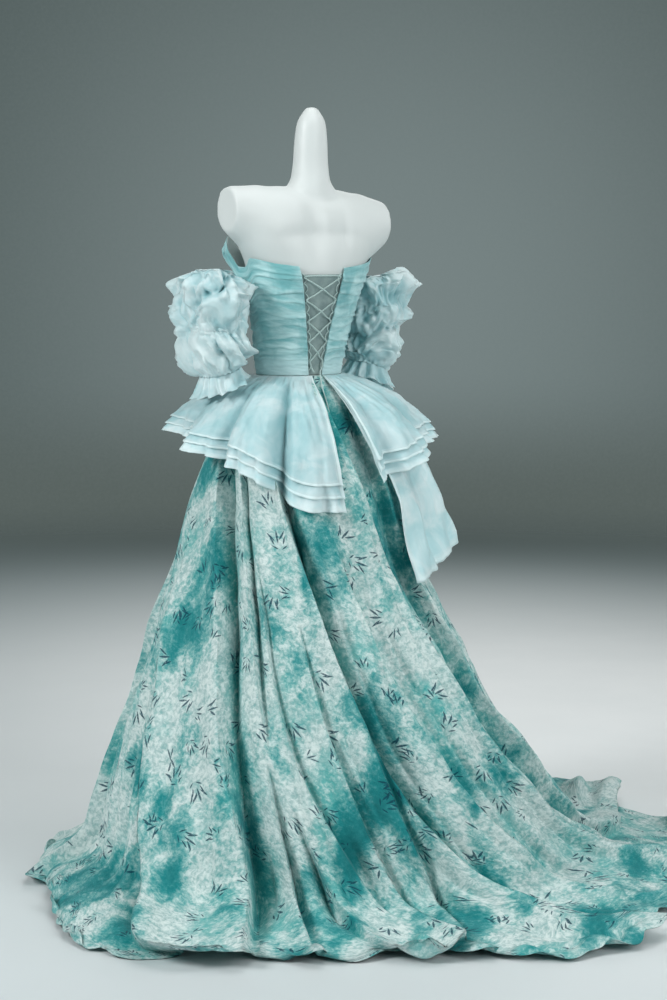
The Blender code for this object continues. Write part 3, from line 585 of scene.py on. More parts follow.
def neckline(angle, index):
    """Height or stand-off of the bodice's top edge, the same on both sides of the form."""
    folded = turned(np.asarray(angle, float) - 90.0)
    return curve(90.0 - np.abs(folded), column(NECKLINE, 0), column(NECKLINE, index))


def bodice(angle, down, clearance=0.0):
    """Inner face of the bodice: the body moved out, with the wings flaring off it towards the top edge."""
    top = neckline(angle, 1)
    height = top + (WAIST_HEIGHT + SEAM_GAP - top) * down
    flare = neckline(angle, 2) * curve(down, (0.0, 0.10, 0.32, 1.0), (0.80, 1.0, 0.10, 0.0))
    snug = bell(turned(angle + 90.0), FRONT_SNUG["width"], 4.0) * smooth((down - 0.75) / 0.25)
    offset = BACK_CLEARANCE - FRONT_SNUG["depth"] * snug + flare + clearance
    level = torso(angle, np.clip(height, 1.0, 1.40), offset)
    level[..., 2] = height
    return level


def gap_edge(side, down):
    """Angle of a laced back edge, a straight line from the neckline to the waist."""
    top, foot = LACED_GAP[side + "_top"], LACED_GAP[side + "_foot"]
    return top + (foot - top) * down


def edge_angle(side, height):
    """Angle of a laced back edge at a height."""
    top = neckline(90.0, 1)
    return gap_edge(side, (top - height) / (top - WAIST_HEIGHT))


def ruches(place, across, down, lean):
    """Gathered folds from 0 to 1: above each slanting line the cloth swells slowly, like half a bell, and
    at the line it drops within a hundredth of the bodice's height."""
    wander = 0.075 * sway(place, 0.022, 31) + 0.018 * sway(place, 0.010, 32)
    ridge = np.zeros_like(down)
    for level, slant, width, strength in RUCHES:
        away = down + wander - level - lean * slant * (0.5 - across)
        over = 1.0 - smooth((away + 0.004) / 0.012)
        fade = 0.35 + 0.65 * cloud(place + 9.0 * level, 0.020, 33)
        ridge = np.maximum(ridge, strength * fade * over * bell(np.minimum(away, 0.0), width))
    return ridge


def through(stack, position):
    """Smooth value at a position along a stack of arrays, by a Catmull-Rom span."""
    span = np.clip(position.astype(int), 0, len(stack) - 2)
    t = position - span
    padded = np.concatenate([[2.0 * stack[0] - stack[1]], stack, [2.0 * stack[-1] - stack[-2]]])
    place = tuple(np.indices(span.shape))
    before, start, end, after = (padded[(span + k,) + place] for k in range(4))
    return 0.5 * (2.0 * start + (end - before) * t + (2.0 * before - 5.0 * start + 4.0 * end - after) * t ** 2
                  + (3.0 * start - before - 3.0 * end + after) * t ** 3)


def dragged(hem_angle, down):
    """Angle of a line of cloth part of the way down: a parabola through waist, halfway and hem angles."""
    at_waist = hem_angle + ring_curve(hem_angle, SKIRT_DRAG, 1)
    halfway = hem_angle + ring_curve(hem_angle, SKIRT_DRAG, 2)
    return ((1.0 - down) * (1.0 - 2.0 * down) * at_waist + 4.0 * down * (1.0 - down) * halfway
            + down * (2.0 * down - 1.0) * hem_angle)


def skirt_base(hem_angle, down):
    """Skirt without its folds: an oval at the waist that widens ring by ring to the hem line on the floor."""
    hem_angle, down = np.broadcast_arrays(np.asarray(hem_angle, float), np.asarray(down, float))
    angle = dragged(hem_angle, down)
    reach = ring_curve(angle, HEM_LINE, 1)
    share = smooth((reach - SHORT_HEM) / (LONG_HEM - SHORT_HEM))
    waist = torso(angle, WAIST_HEIGHT, BACK_CLEARANCE + SKIRT_RISE)
    lying = 0.03 + 0.62 * np.clip(reach - 0.74, 0.0, 1.0)
    radii = [np.hypot(waist[..., 0], waist[..., 1] - WAIST_CENTRE_Y)]
    heights = [WAIST_HEIGHT]
    for height, short, long in SKIRT_RINGS:
        middling = 0.25 * (reach - 0.70) * (1.0 - share) * (1.0 - height)
        radii.append(short + (long - short) * share + middling)
        heights.append(height)
    radii = np.stack(radii + [reach - lying, reach])
    heights = heights + [0.016, SKIRT_RISE]
    radius = through(radii, np.clip(down, 0.0, 1.0) * (len(radii) - 1))
    height = curve(down, np.linspace(0.0, 1.0, len(heights)), heights)
    centre_y = WAIST_CENTRE_Y * (1.0 - smooth(down / 0.35))
    waist_turn = np.arctan2(waist[..., 1] - WAIST_CENTRE_Y, waist[..., 0])
    bend = np.radians(turned(angle - np.degrees(waist_turn)))
    turn = waist_turn + bend * smooth(down / 0.25)
    return np.stack([radius * np.cos(turn), centre_y + radius * np.sin(turn), height], axis=-1)


def fold_relief(hem_angle, down, table, sharp=2.0):
    """How far the folds sink in at a point: troughs that deepen towards the hem."""
    relief = np.zeros(np.broadcast(hem_angle, down).shape)
    for at_hem, start, depth, half_width in table:
        run = np.clip((down - start) / (1.0 - start), 0.0, 1.0) ** 0.6
        relief = relief + depth * run * bell(turned(hem_angle - at_hem), half_width, sharp)
    return relief


def creases(hem_angle, down):
    """Sink and bulge of the knife-edged folds: the cloth stands out up to the crease, drops over it within
    half a degree, and rises again slowly across the valley beside it."""
    sink = np.zeros(hem_angle.shape)
    bulge = np.zeros(hem_angle.shape)
    for side, start, end, depth, width, *angles in CREASES:
        middle = curve(down, (0.0, 0.25, 0.5, 0.75, 1.0), angles)
        away = side * turned(hem_angle - middle)
        run = np.clip((down - start) / (1.0 - start), 0.0, 1.0) ** 0.5 * (1.0 - smooth((down - end) / 0.15))
        over = smooth((away + 0.55) / 1.1)
        sink = sink + depth * run * over * bell(np.maximum(away, 0.0), width, 1.3)
        bulge = bulge + depth * run * (1.0 - over) * bell(np.minimum(away, 0.0), 1.1 * width)
    return sink, bulge


def skirt(hem_angle, down, fine=0.0):
    """Outer face of the skirt: folds and creases sink in on the standing cloth, and lie as rolls on the
    train. Fine adds the narrow folds, the soft unevenness of the cloth and the curls of the hem."""
    points = skirt_base(hem_angle, down)
    out = normals(skirt_base, hem_angle, np.clip(down, 0.003, 0.997))
    relief = fold_relief(hem_angle, down, SKIRT_FOLDS, 1.6)
    sink, bulge = creases(hem_angle + 0.0 * down, down)
    if fine:
        narrow = fold_relief(hem_angle, down, FINE_FOLDS, 1.4)
        cloth = points * [1.0, 1.0, 0.42]
        uneven = 0.026 * sway(cloth, 0.085, 11) + 0.009 * sway(cloth, 0.034, 12)
        relief = relief + fine * (narrow + uneven * smooth((down - 0.10) / 0.3))
    lying = smooth((0.10 - points[..., 2]) / 0.08)
    move = (0.30 * bulge - relief - sink) * (1.0 - lying) + (0.45 * relief + 0.50 * bulge) * lying
    out = unit(out * np.stack([1.0 - 0.6 * lying, 1.0 - 0.6 * lying, np.ones_like(lying)], axis=-1))
    points = points + out * move[..., None]
    hem_wave = (0.2 * bulge - relief - sink) * smooth((down - 0.85) / 0.15)
    turn = np.radians(dragged(hem_angle, down))
    points[..., 0] += hem_wave * np.cos(turn)
    points[..., 1] += hem_wave * np.sin(turn)
    for at_hem, place, lift, half_width, half_run in HEM_CURLS:
        points[..., 2] += lift * bell(turned(hem_angle - at_hem), half_width) * bell(down - place, half_run)
    points[..., 2] = np.maximum(points[..., 2], HEM_LIFT)
    return points


def on_skirt(angle, down, clearance):
    """Point over the skirt at an angle round the form."""
    hem_angles = np.linspace(-20.0, 340.0, 721)
    hem_angle = np.array([np.interp(angle, dragged(hem_angles, down), hem_angles)])
    place = np.array([down])
    return (skirt(hem_angle, place, 1.0) + normals(skirt, hem_angle, place) * clearance)[0]


def flutes(angle, table):
    """Wave of a gathered hem: each row of the table is a soft ridge or a sharper hollow."""
    wave = np.zeros(np.shape(angle))
    for middle, depth, half_width in table:
        wave = wave + depth * bell(angle - middle, half_width, 2.0 if depth > 0.0 else 1.4)
    return wave


def organza_fall(table, crests, angle, run, share, clearance, spring):
    """Gathered layer that springs from the waist and falls along its slope: run goes from 0 at the waist to
    1 at its hem. Flutes open towards the hem and fine gathers fade away from the waist."""
    length, slope = (curve(angle, column(table, 0), column(table, k)) for k in (1, 2))
    slope = np.radians(slope)
    turn = np.radians(angle)
    along = run * share

    def uneven(across, down, layer, size, seed):
        """Soft unevenness of the cloth, with its own stretch across and down."""
        return sway(np.stack([across, down, layer + 0.0 * turn], axis=-1), size, seed)

    drop = length * along * np.sin(slope) * (spring[0] + (1.0 - spring[0]) * along)
    spread = length * along * np.cos(slope) * (1.0 + spring[1] * (1.0 - along))
    spread = spread + flutes(angle, crests) * (0.35 * along ** 0.7 + 0.65 * along ** 1.3)
    pleats = uneven(3.0 * turn, 0.6 * along, 0.0, 0.075, 22)
    pleats = pleats + 0.6 * uneven(3.0 * turn, 0.8 * along, 0.0, 0.032, 23)
    spread = spread + 0.017 * pleats * smooth(run / 0.10) * (0.45 + 0.55 * np.exp(-run / 0.35))
    gathers = np.sin(4.6 * angle + 3.0 * np.sin(0.31 * angle)) * (0.6 + 0.4 * np.sin(0.9 * angle))
    spread = spread + 0.0028 * gathers * smooth(run / 0.04) * np.exp(-run / 0.20)
    crumple = uneven(0.3 * turn, length * along, share, 0.040, 21)
    spread = spread + 0.0060 * crumple * smooth(run / 0.2)
    curls = uneven(0.45 * turn, 0.4 * length * along, 0.0, 0.030, 24)
    spread = spread + 0.036 * curls * smooth((along - 0.55) / 0.45)

    out = np.stack([np.cos(turn), np.sin(turn), 0.0 * turn], axis=-1)
    tilt = smooth(run * 4.0)[..., None]
    above = out * np.sin(slope)[..., None] + np.cos(slope)[..., None] * [0.0, 0.0, 1.0]
    lift = unit(above * tilt + out * (1.0 - tilt))
    points = torso(angle, WAIST_HEIGHT - SEAM_GAP, BACK_CLEARANCE) + out * spread[..., None]
    points = points + lift * clearance[..., None]
    points[..., 2] -= drop
    return points


def sleeve_piece(name, side, rings, gathers, gather_depth, crumple, count):
    """Outer and inner face and edge value of a sleeve piece: ovals carried down the arm's line. Folded
    clouds crumple its belly, fine waves gather its ends, and the right one is the left one's mirror."""
    sign = 1.0 if side == "left" else -1.0
    frill = name == "cuff_frill"
    position = np.linspace(0.0, len(rings) - 1.0, count)[:, None]
    middle = position / (len(rings) - 1.0)
    turn = np.arange(SLEEVE_COLUMNS) * 2.0 * math.pi / SLEEVE_COLUMNS + 0.0 * position
    height, half_width, half_depth = (
        curve(position, np.arange(len(rings)), column(rings, k)) + 0.0 * turn for k in range(3))
    centre_x, centre_y = (
        curve(height, column(SLEEVE_AXIS, 0)[::-1], column(SLEEVE_AXIS, k)[::-1]) for k in (1, 2))
    at_seam = 0.85 * smooth(1.0 - np.abs(height - SLEEVE_SEAM) / 0.035)
    belly = middle ** 1.3 if frill else np.maximum(np.sin(math.pi * middle) ** 0.5, at_seam)
    place = np.stack([half_width * np.cos(turn), half_depth * np.sin(turn), height], axis=-1)
    place = place + np.array([0.5 * sign, 0.0, 0.3 * frill])
    bent = (place + 0.055 * shaken(place, 0.045, (44, 45, 46))) * [1.0, 1.0, 0.55]
    crests = np.maximum(ridges(bent, 0.026, 47), 0.7 * ridges(bent, 0.011, 48))
    lumps = 3.0 * np.abs(sway(bent, 0.044, 41)) + 1.2 * np.abs(sway(bent, 0.019, 42)) + 0.5 * crests - 0.75
    gather = gather_depth * np.cos(gathers * turn + 2.0 * np.sin(2.0 * turn))
    ends = 0.35 + 0.65 * middle if frill else 1.0 - belly
    puff = lumps * crumple * belly + gather * ends
    across = (half_width + puff) * np.cos(turn)
    tilt = CUFF_TILT * smooth((1.19 - height) / 0.05) * across
    outer = np.stack([centre_x + across, centre_y + (half_depth + puff) * np.sin(turn), height - tilt], axis=-1)
    outer += 0.018 * shaken(place, 0.026, (51, 52, 53)) * belly[..., None]
    for level, spread, rise, waves, start in SLEEVE_WAVES:
        outer[..., 2] += rise * np.sin(waves * turn + start) * bell(height - level, spread)
    # Edge value: painted highlight on the crests and lumps, and painted shade below 0 in the hollows between them.
    edge = np.clip(1.6 * lumps + 0.8 * crests - 0.15, -1.0, 1.0) * belly
    if frill:
        edge = np.maximum(edge, smooth((middle - 0.93) / 0.05))
    if side == "left":
        outer[..., 0] -= LEFT_SLEEVE_IN
    inner = outer - grid_normals(outer, wrap=True) * SLEEVE_CLOTH
    if side == "right":
        outer, inner, edge = outer[:, ::-1] * MIRROR, inner[:, ::-1] * MIRROR, edge[:, ::-1]
    return outer, inner, edge


def grid(first, last, columns, rows):
    """Angles and down values of a panel; first and last may differ from row to row."""
    rows = np.asarray(rows, float)
    first, last = np.broadcast_to(first, rows.shape), np.broadcast_to(last, rows.shape)
    angle = first[:, None] + (last - first)[:, None] * np.linspace(0.0, 1.0, columns)
    return angle, np.repeat(rows[:, None], columns, axis=1)


def flat_map(points, offset):
    """Flat cloth coordinates in metres: across along each row from the middle column, and down that column."""
    across = np.linalg.norm(np.diff(points, axis=1), axis=-1)
    across = np.concatenate([np.zeros((len(points), 1)), np.cumsum(across, axis=1)], axis=1)
    middle = points.shape[1] // 2
    down = run_along(points[:, middle])[:, None]
    across = across - across[:, middle:middle + 1]
    return np.stack([across + offset, 0.37 * offset - down + 0.0 * across], axis=-1)


def smooth_line(points, count):
    """Evenly spaced points on the smooth curve through a few points."""
    points = np.asarray(points, float)
    steps = run_along(points)
    fine = np.linspace(0.0, steps[-1], 40 * len(points))
    dense = np.stack([curve(fine, steps, points[:, k]) for k in range(3)], axis=-1)
    run = run_along(dense)
    even = np.linspace(0.0, run[-1], count)
    return np.stack([np.interp(even, run, dense[:, k]) for k in range(3)], axis=-1)


def make(name, material, points, faces, replaced=(), slot=None, spots=None, shading=None, edge=None):
    """Mesh object at the origin from points and faces, with UV spots, vertex normals and an edge value."""
    mesh = bpy.data.meshes.new(name)
    mesh.from_pydata(np.asarray(points, float).tolist(), [], faces)
    mesh.materials.append(material)
    mesh.shade_smooth()
    if spots is not None:
        layer = mesh.uv_layers.new(name="Cloth")
        corners = np.zeros(len(mesh.loops), dtype=np.int32)
        mesh.loops.foreach_get("vertex_index", corners)
        layer.data.foreach_set("uv", np.asarray(spots, np.float32)[corners].ravel())
    if edge is not None:
        values = mesh.attributes.new("edge", "FLOAT", "POINT")
        values.data.foreach_set("value", np.asarray(edge, np.float32).ravel())
    if shading is not None:
        mesh.normals_split_custom_set_from_vertices(np.asarray(shading, float).tolist())
    item = bpy.data.objects.new(name, mesh)
    bpy.context.scene.collection.objects.link(item)
    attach(item, "root")
    if replaced:
        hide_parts(*replaced)
    return item


def band(index, beside):
    """Four-sided faces between neighbouring rows of point numbers, facing out where the rows run down."""
    return np.stack([index[:-1], index[1:], beside[1:], beside[:-1]], -1).reshape(-1, 4)


def border(first, second, count):
    """Faces along an edge, from the outer points to the inner ones, which are numbered count higher."""
    return np.stack([first, second, second + count, first + count], -1)


def wall(name, material, outer, inner, wrap=False, cut_at=0.0, out=None, edge=None, **settings):
    """Closed cloth wall between two grids of points, rows running down and columns to rising angles. Cut_at
    is the place on the flat cloth that the piece is cut from."""
    rows, columns = outer.shape[:2]
    count = rows * columns
    index = np.arange(count).reshape(rows, columns)
    beside = np.roll(index, -1, axis=1)
    if not wrap:
        index, beside = index[:, :-1], beside[:, :-1]
    outside = band(index, beside)
    faces = [outside, outside[:, ::-1] + count, border(index[0], beside[0], count),
             border(beside[-1], index[-1], count)]
    if not wrap:
        left = np.arange(rows) * columns
        right = left + columns - 1
        faces += [border(left[1:], left[:-1], count), border(right[:-1], right[1:], count)]
    points = np.concatenate([outer.reshape(-1, 3), inner.reshape(-1, 3)])
    spots = np.tile(flat_map(outer, cut_at).reshape(-1, 2), (2, 1))
    shading = None if out is None else np.concatenate([out.reshape(-1, 3), -out.reshape(-1, 3)])
    edge = None if edge is None else np.tile(edge.ravel(), 2)
    faces = np.concatenate(faces).tolist()
    return make(name, material, points, faces, spots=spots, shading=shading, edge=edge, **settings)


def closed_tube(rings, tips, rising=False):
    """Points and faces of a tube through rings of points, with a fan from each end ring to its tip. Rising
    turns the faces over, for rings that go up."""
    count, sides = rings.shape[:2]
    index = np.arange(count * sides).reshape(count, sides)
    beside = np.roll(index, -1, axis=1)
    if rising:
        index, beside = beside, index
    start, end = np.full(sides, count * sides), np.full(sides, count * sides + 1)
    faces = np.roll(band(index, beside), int(rising), axis=1).tolist()
    faces += np.stack([index[0], beside[0], start], -1).tolist()
    faces += np.stack([beside[-1], index[-1], end], -1).tolist()
    return np.concatenate([rings.reshape(-1, 3), tips]), faces


def lofted(name, material, rings):
    """Closed solid through rings of points that go up, closed to the middle of each end ring."""
    tips = [rings[0].mean(axis=0), rings[-1].mean(axis=0)]
    return make(name, material, *closed_tube(rings, tips, rising=True))


def swept(name, material, line, out, radius, sides, **settings):
    """Round tube: a circle of the radius carried along a line, square to it, with rounded ends."""
    tangent = unit(np.gradient(line, axis=0))
    side = unit(np.cross(tangent, out))
    up = np.cross(side, tangent)
    turn = np.arange(sides) * 2.0 * math.pi / sides
    ring = np.cos(turn)[None, :, None] * up[:, None, :] + np.sin(turn)[None, :, None] * side[:, None, :]
    cap = 0.7 * radius
    tips = [line[0] - tangent[0] * cap, line[-1] + tangent[-1] * cap]
    rings = np.concatenate([[tips[0] + ring[0] * radius * 0.55], line[:, None, :] + ring * radius,
                            [tips[1] + ring[-1] * radius * 0.55]])
    run = run_along(line)
    run = np.concatenate([[-cap], run, [run[-1] + cap]])
    spots = np.stack(np.broadcast_arrays(run[:, None], turn / (2.0 * math.pi)), axis=-1).reshape(-1, 2)
    spots = np.concatenate([spots, [[run[0], 0.0], [run[-1], 0.0]]])
    return make(name, material, *closed_tube(rings, tips), spots=spots, **settings)


def modifier(item, name, kind, **settings):
    """Add a modifier with its settings."""
    added = item.modifiers.new(name, kind)
    for key, value in settings.items():
        setattr(added, key, value)


class Finish:
    """A material and short ways to add nodes to it."""

    def __init__(self, name, roughness, sheen=0.0):
        """Start a material with a roughness and a sheen, and with object and cloth coordinates."""
        self.material = bpy.data.materials.new(name)
        self.material.use_nodes = True
        self.tree = self.material.node_tree
        self.shader = self.tree.nodes["Principled BSDF"]
        self.shader.inputs["Roughness"].default_value = roughness
        self.shader.inputs["Sheen Weight"].default_value = sheen
        self.place = self.add("ShaderNodeTexCoord").outputs["Object"]
        self.cloth = self.add("ShaderNodeUVMap", uv_map="Cloth").outputs["UV"]

    def add(self, kind, inputs=(), **settings):
        """New node with its settings, and its inputs linked or set."""
        node = self.tree.nodes.new(kind)
        for key, value in settings.items():
            setattr(node, key, value)
        for key, value in dict(inputs).items():
            self.put(node.inputs[key], value)
        return node

    def put(self, socket, value):
        """Link a socket to another, or set its value."""
        if isinstance(value, bpy.types.NodeSocket):
            self.tree.links.new(value, socket)
        else:
            socket.default_value = value

    def edge(self):
        """The piece's own edge value: 1 on hems and crests, below 0 in organza's hollows. On crests it paints
        highlight and in hollows it paints shade. On the skirt it is the depth of the fold valleys, which paints
        shade there.
        """
        return self.add("ShaderNodeAttribute", attribute_name="edge").outputs["Fac"]

    def part(self, vector, axis):
        """One part of a vector: 0 for x, 1 for y, 2 for z."""
        return self.add("ShaderNodeSeparateXYZ", {0: vector}).outputs[axis]

    def math(self, operation, first, second=0.0, third=0.0, clamp=False):
        """Sum, product or other operation on values."""
        return self.add("ShaderNodeMath", {0: first, 1: second, 2: third}, operation=operation,
                        use_clamp=clamp).outputs[0]

    def plus(self, base, value, share, middle=0.0):
        """Base plus a share of how far a value is over its middle."""
        over = self.math("SUBTRACT", value, middle) if middle else value
        return self.math("MULTIPLY_ADD", over, share, base)

    def noise(self, place, scale, detail=2.0, rough=0.5, twist=0.0):
        """Soft noise from 0 to 1."""
        return self.add("ShaderNodeTexNoise", {"Vector": place, "Scale": scale, "Detail": detail,
                                               "Roughness": rough, "Distortion": twist}).outputs["Fac"]

    def stretch(self, place, scale, shift=(0.0, 0.0, 0.0)):
        """Coordinates scaled and then shifted."""
        return self.add("ShaderNodeMapping", {"Vector": place, "Scale": scale,
                                              "Location": shift}).outputs["Vector"]

    def distance(self, first, second):
        """Distance between two places."""
        return self.add("ShaderNodeVectorMath", {0: first, 1: second}, operation="DISTANCE").outputs["Value"]

    def span(self, value, low, high, to_low=0.0, to_high=1.0):
        """Smooth rise from one value at low to another at high."""
        return self.add("ShaderNodeMapRange", {0: value, 1: low, 2: high, 3: to_low, 4: to_high},
                        interpolation_type="SMOOTHSTEP").outputs[0]

    def mix(self, share, first, second):
        """First colour with a share of the second over it."""
        return self.add("ShaderNodeMix", {0: share, 6: first, 7: second}, data_type="RGBA").outputs[2]

    def colour(self, value):
        """Set the base colour."""
        self.put(self.shader.inputs["Base Color"], value)

    def bump(self, height, distance, strength=1.0, under=None):
        """Bump from a height, over the bump below it."""
        node = self.add("ShaderNodeBump", {"Height": height, "Distance": distance, "Strength": strength})
        if under is not None:
            self.put(node.inputs["Normal"], under)
        self.put(self.shader.inputs["Normal"], node.outputs["Normal"])
        return node.outputs["Normal"]

    def blend(self, share, other):
        """Mix a share of another shader into the surface."""
        both = self.add("ShaderNodeMixShader", {0: share, 1: self.shader.outputs[0], 2: other.outputs[0]})
        self.put(self.tree.nodes["Material Output"].inputs["Surface"], both.outputs[0])


LEAVES = (
    # base x, base y, turn in degrees, length, half width, least random value that shows it
    (0.000, 0.000, 72.0, 0.034, 0.0030, 0.00),
    (0.005, 0.008, 34.0, 0.029, 0.0027, 0.08),
    (-0.003, 0.007, 112.0, 0.027, 0.0027, 0.18),
    (0.009, -0.004, 50.0, 0.022, 0.0023, 0.34),
    (-0.009, 0.000, 90.0, 0.024, 0.0024, 0.26),
    (0.002, -0.013, 18.0, 0.018, 0.0019, 0.52),
    (-0.003, -0.011, 134.0, 0.019, 0.0020, 0.64),
)
PRINT_STAGES = (
    # pattern, low, high, strength, colour laid over what is below
    ("wash", 0.67, 0.97, 0.85, "wash"),
    # Relief over the brushed pattern's raised parts: partly the cloth's scroll, partly painted highlight.
    ("brushed", 0.48, 0.76, 0.60, "relief"),
    ("blotch", 0.60, 0.80, 0.62, "wash"),
    ("blotch", 0.68, 0.87, 0.92, "blotch"),
    ("blotch", 0.80, 0.97, 0.55, "blotch_core"),
)


def sprigs(finish, place, spacing, empty):
    """Share of leaf at each point: one sprig of thin lance leaves in each cell, turned at random. A leaf is
    the area below the parabola 4t(1-t) of its length, on both sides of its midrib."""
    cells = finish.add("ShaderNodeTexVoronoi", {"Vector": place, "Scale": 1.0 / spacing, "Randomness": 0.75},
                       voronoi_dimensions="2D", feature="F1")
    local = finish.add("ShaderNodeVectorMath", {0: place, 1: cells.outputs["Position"]},
                       operation="SUBTRACT").outputs[0]
    lots = finish.add("ShaderNodeSeparateColor", {"Color": cells.outputs["Color"]})
    turn = finish.math("MULTIPLY", lots.outputs["Red"], 2.0 * math.pi)
    local = finish.add("ShaderNodeVectorRotate", {"Vector": local, "Angle": turn},
                       rotation_type="Z_AXIS").outputs[0]
    total = 0.0
    for base_x, base_y, degrees, length, half_width, least in LEAVES:
        leaf = finish.add("ShaderNodeMapping", {"Vector": local, "Location": (base_x, base_y, 0.0),
                                                "Rotation": (0.0, 0.0, math.radians(degrees)),
                                                "Scale": (length, half_width, 1.0)}, vector_type="TEXTURE")
        split = finish.add("ShaderNodeSeparateXYZ", {0: leaf.outputs["Vector"]})
        arch = finish.math("MULTIPLY", split.outputs[0], finish.math("SUBTRACT", 1.0, split.outputs[0]))
        inside = finish.math("SUBTRACT", finish.math("MULTIPLY", arch, 4.0),
                             finish.math("ABSOLUTE", split.outputs[1]))
        shown = finish.math("GREATER_THAN", lots.outputs["Green"], least)
        total = finish.math("MAXIMUM", total, finish.math("MULTIPLY", finish.span(inside, 0.0, 0.35), shown))
    return finish.math("MULTIPLY", total, finish.math("GREATER_THAN", lots.outputs["Blue"], empty))


def printed_cloth(colours):
    """Cloque cloth: a pale ground with brushed relief, soft washes and blotches, and dark leaf sprigs. The relief
    is paler on its raised parts and deeper between them, partly the cloth's own scroll and partly painted
    highlight and shade. The washes and blotches gather in the valleys of the folds as painted shade, and their
    rims are frayed."""
    finish = Finish("Printed cloque", 0.90, sheen=0.10)
    finish.shader.inputs["Specular IOR Level"].default_value = 0.25
    place, cloth = finish.place, finish.cloth
    brushed = finish.noise(cloth, 100.0, 5.0, 0.66, 0.5)
    brushed = finish.plus(brushed, finish.noise(cloth, 30.0, 4.0, 0.60, 0.4), 0.55, 0.5)
    fine = finish.noise(cloth, 300.0, 3.0, 0.6, 0.5)
    frayed = finish.noise(place, 34.0, 6.0, 0.72, 0.3)
    valley = finish.edge()
    wash = finish.noise(finish.stretch(place, (1.0, 1.0, 0.62), (3.1, 0.4, 1.7)), 9.5, 3.0, 0.50, 0.2)
    # The valley value from the creases pushes the wash and the blotches deeper into the folds' valleys: painted
    # shade.
    wash = finish.plus(finish.plus(wash, frayed, 0.42), valley, 0.16)
    blotch = finish.noise(finish.stretch(place, (1.0, 1.0, 0.58), (0.4, 2.2, 0.9)), 9.2, 2.0, 0.45, 0.2)
    blotch = finish.plus(finish.plus(blotch, frayed, 0.34), valley, 0.09)
    blotch = finish.plus(blotch, brushed, -0.22, 0.5)
    patterns = {"wash": wash, "brushed": brushed, "blotch": blotch}
    # Deeper between the brushed relief and paler on it: partly the cloth's scroll, partly painted shade and
    # highlight.
    tone = finish.mix(finish.span(brushed, 0.30, 0.62), colours.ground_low, colours.ground)
    for pattern, low, high, strength, over in PRINT_STAGES:
        tone = finish.mix(finish.span(patterns[pattern], low, high, 0.0, strength), tone, getattr(colours, over))
    large = sprigs(finish, cloth, 0.098, 0.30)
    small = sprigs(finish, finish.stretch(cloth, (1.30, 1.30, 1.0), (0.33, 0.71, 0.0)), 0.110, 0.45)
    leaves = finish.math("MAXIMUM", large, small)
    leaves = finish.math("MULTIPLY", leaves, finish.span(fine, 0.25, 0.52, 0.45, 0.92))
    finish.colour(finish.mix(leaves, tone, colours.leaf))
    finish.bump(fine, 0.0008, 0.6, finish.bump(brushed, 0.0030, 0.9))
    return finish.material


def organza_cloth(name, colours, shade, opacity):
    """Crisp sheer cloth: pale with soft cloudy tone, a fine even weave, and edges that show as rolled hems. The
    edge value paints highlight on crests and makes them more opaque. Below 0 it paints shade in the hollows of
    folds.
    """
    finish = Finish(name, 0.42, sheen=0.35)
    soft = finish.noise(finish.place, 14.0, 3.0, 0.6, 0.8)
    silk = finish.noise(finish.stretch(finish.cloth, (1.0, 0.12, 1.0)), 160.0, 2.0, 0.5)
    weave = finish.noise(finish.cloth, 1500.0, 1.0, 0.5)
    edge = finish.edge()
    tone = finish.mix(finish.span(soft, 0.30, 0.70), shade, colours.organza)
    # Painted shade: a deeper teal in the hollows of the folds, where the edge value is below 0.
    tone = finish.mix(finish.math("MULTIPLY", edge, -0.75, clamp=True), tone, colours.organza_hollow_shade)
    # Paler rolled hems, and painted highlight on the sleeves' crests, where the edge value is above 0.
    finish.colour(finish.mix(finish.math("MULTIPLY", edge, 0.6, clamp=True), tone, colours.organza_hem_and_highlight))
    alpha = finish.plus(opacity, soft, 0.20, 0.5)
    finish.put(finish.shader.inputs["Alpha"], finish.math("MAXIMUM", alpha, edge, clamp=True))
    finish.bump(weave, 0.0002, 0.35, finish.bump(silk, 0.0007, 0.5))
    finish.blend(0.22, finish.add("ShaderNodeBsdfTranslucent", {"Color": tone}))
    return finish.material


def ruched_cloth(colours):
    """Organza ruched over a firm bodice: long pale streaks along the folds and paler crests of the ruches as
    painted highlight, over a deeper tone that stays in the furrows as painted shade, deeper blots, and a paler
    band at the waist."""
    finish = Finish("Ruched organza", 0.48, sheen=0.35)
    streak = finish.noise(finish.stretch(finish.cloth, (0.28, 1.0, 1.0)), 60.0, 4.0, 0.6, 0.5)
    soft = finish.noise(finish.stretch(finish.place, (1.0, 1.0, 0.6)), 17.0, 3.0, 0.6, 0.5)
    fine = finish.noise(finish.stretch(finish.cloth, (1.0, 0.25, 1.0)), 700.0, 2.0, 0.5)
    blot = finish.noise(finish.stretch(finish.place, (1.0, 1.0, 0.7), (0.6, 0.2, 1.3)), 11.0, 3.0, 0.5, 0.4)
    # Painted light: the streaks and the ruches' crests (the edge value) lift the tone to its light end, and the
    # furrows keep the deeper tone as painted shade.
    light = finish.plus(finish.span(streak, 0.25, 0.75, 0.05, 0.75), finish.edge(), 0.55)
    tone = finish.mix(finish.math("MINIMUM", light, 1.0), colours.ruched_low, colours.ruched)
    tone = finish.mix(finish.span(soft, 0.46, 0.70, 0.0, 0.75), tone, colours.ruched_low)
    tone = finish.mix(finish.span(blot, 0.52, 0.72, 0.0, 0.60), tone, colours.ruched_blot)
    height = finish.part(finish.place, 2)
    finish.colour(finish.mix(finish.span(height, 1.185, 1.145, 0.0, 0.75), tone, colours.waist_band))
    finish.bump(fine, 0.0003, 0.5, finish.bump(streak, 0.0008, 0.5))
    return finish.material


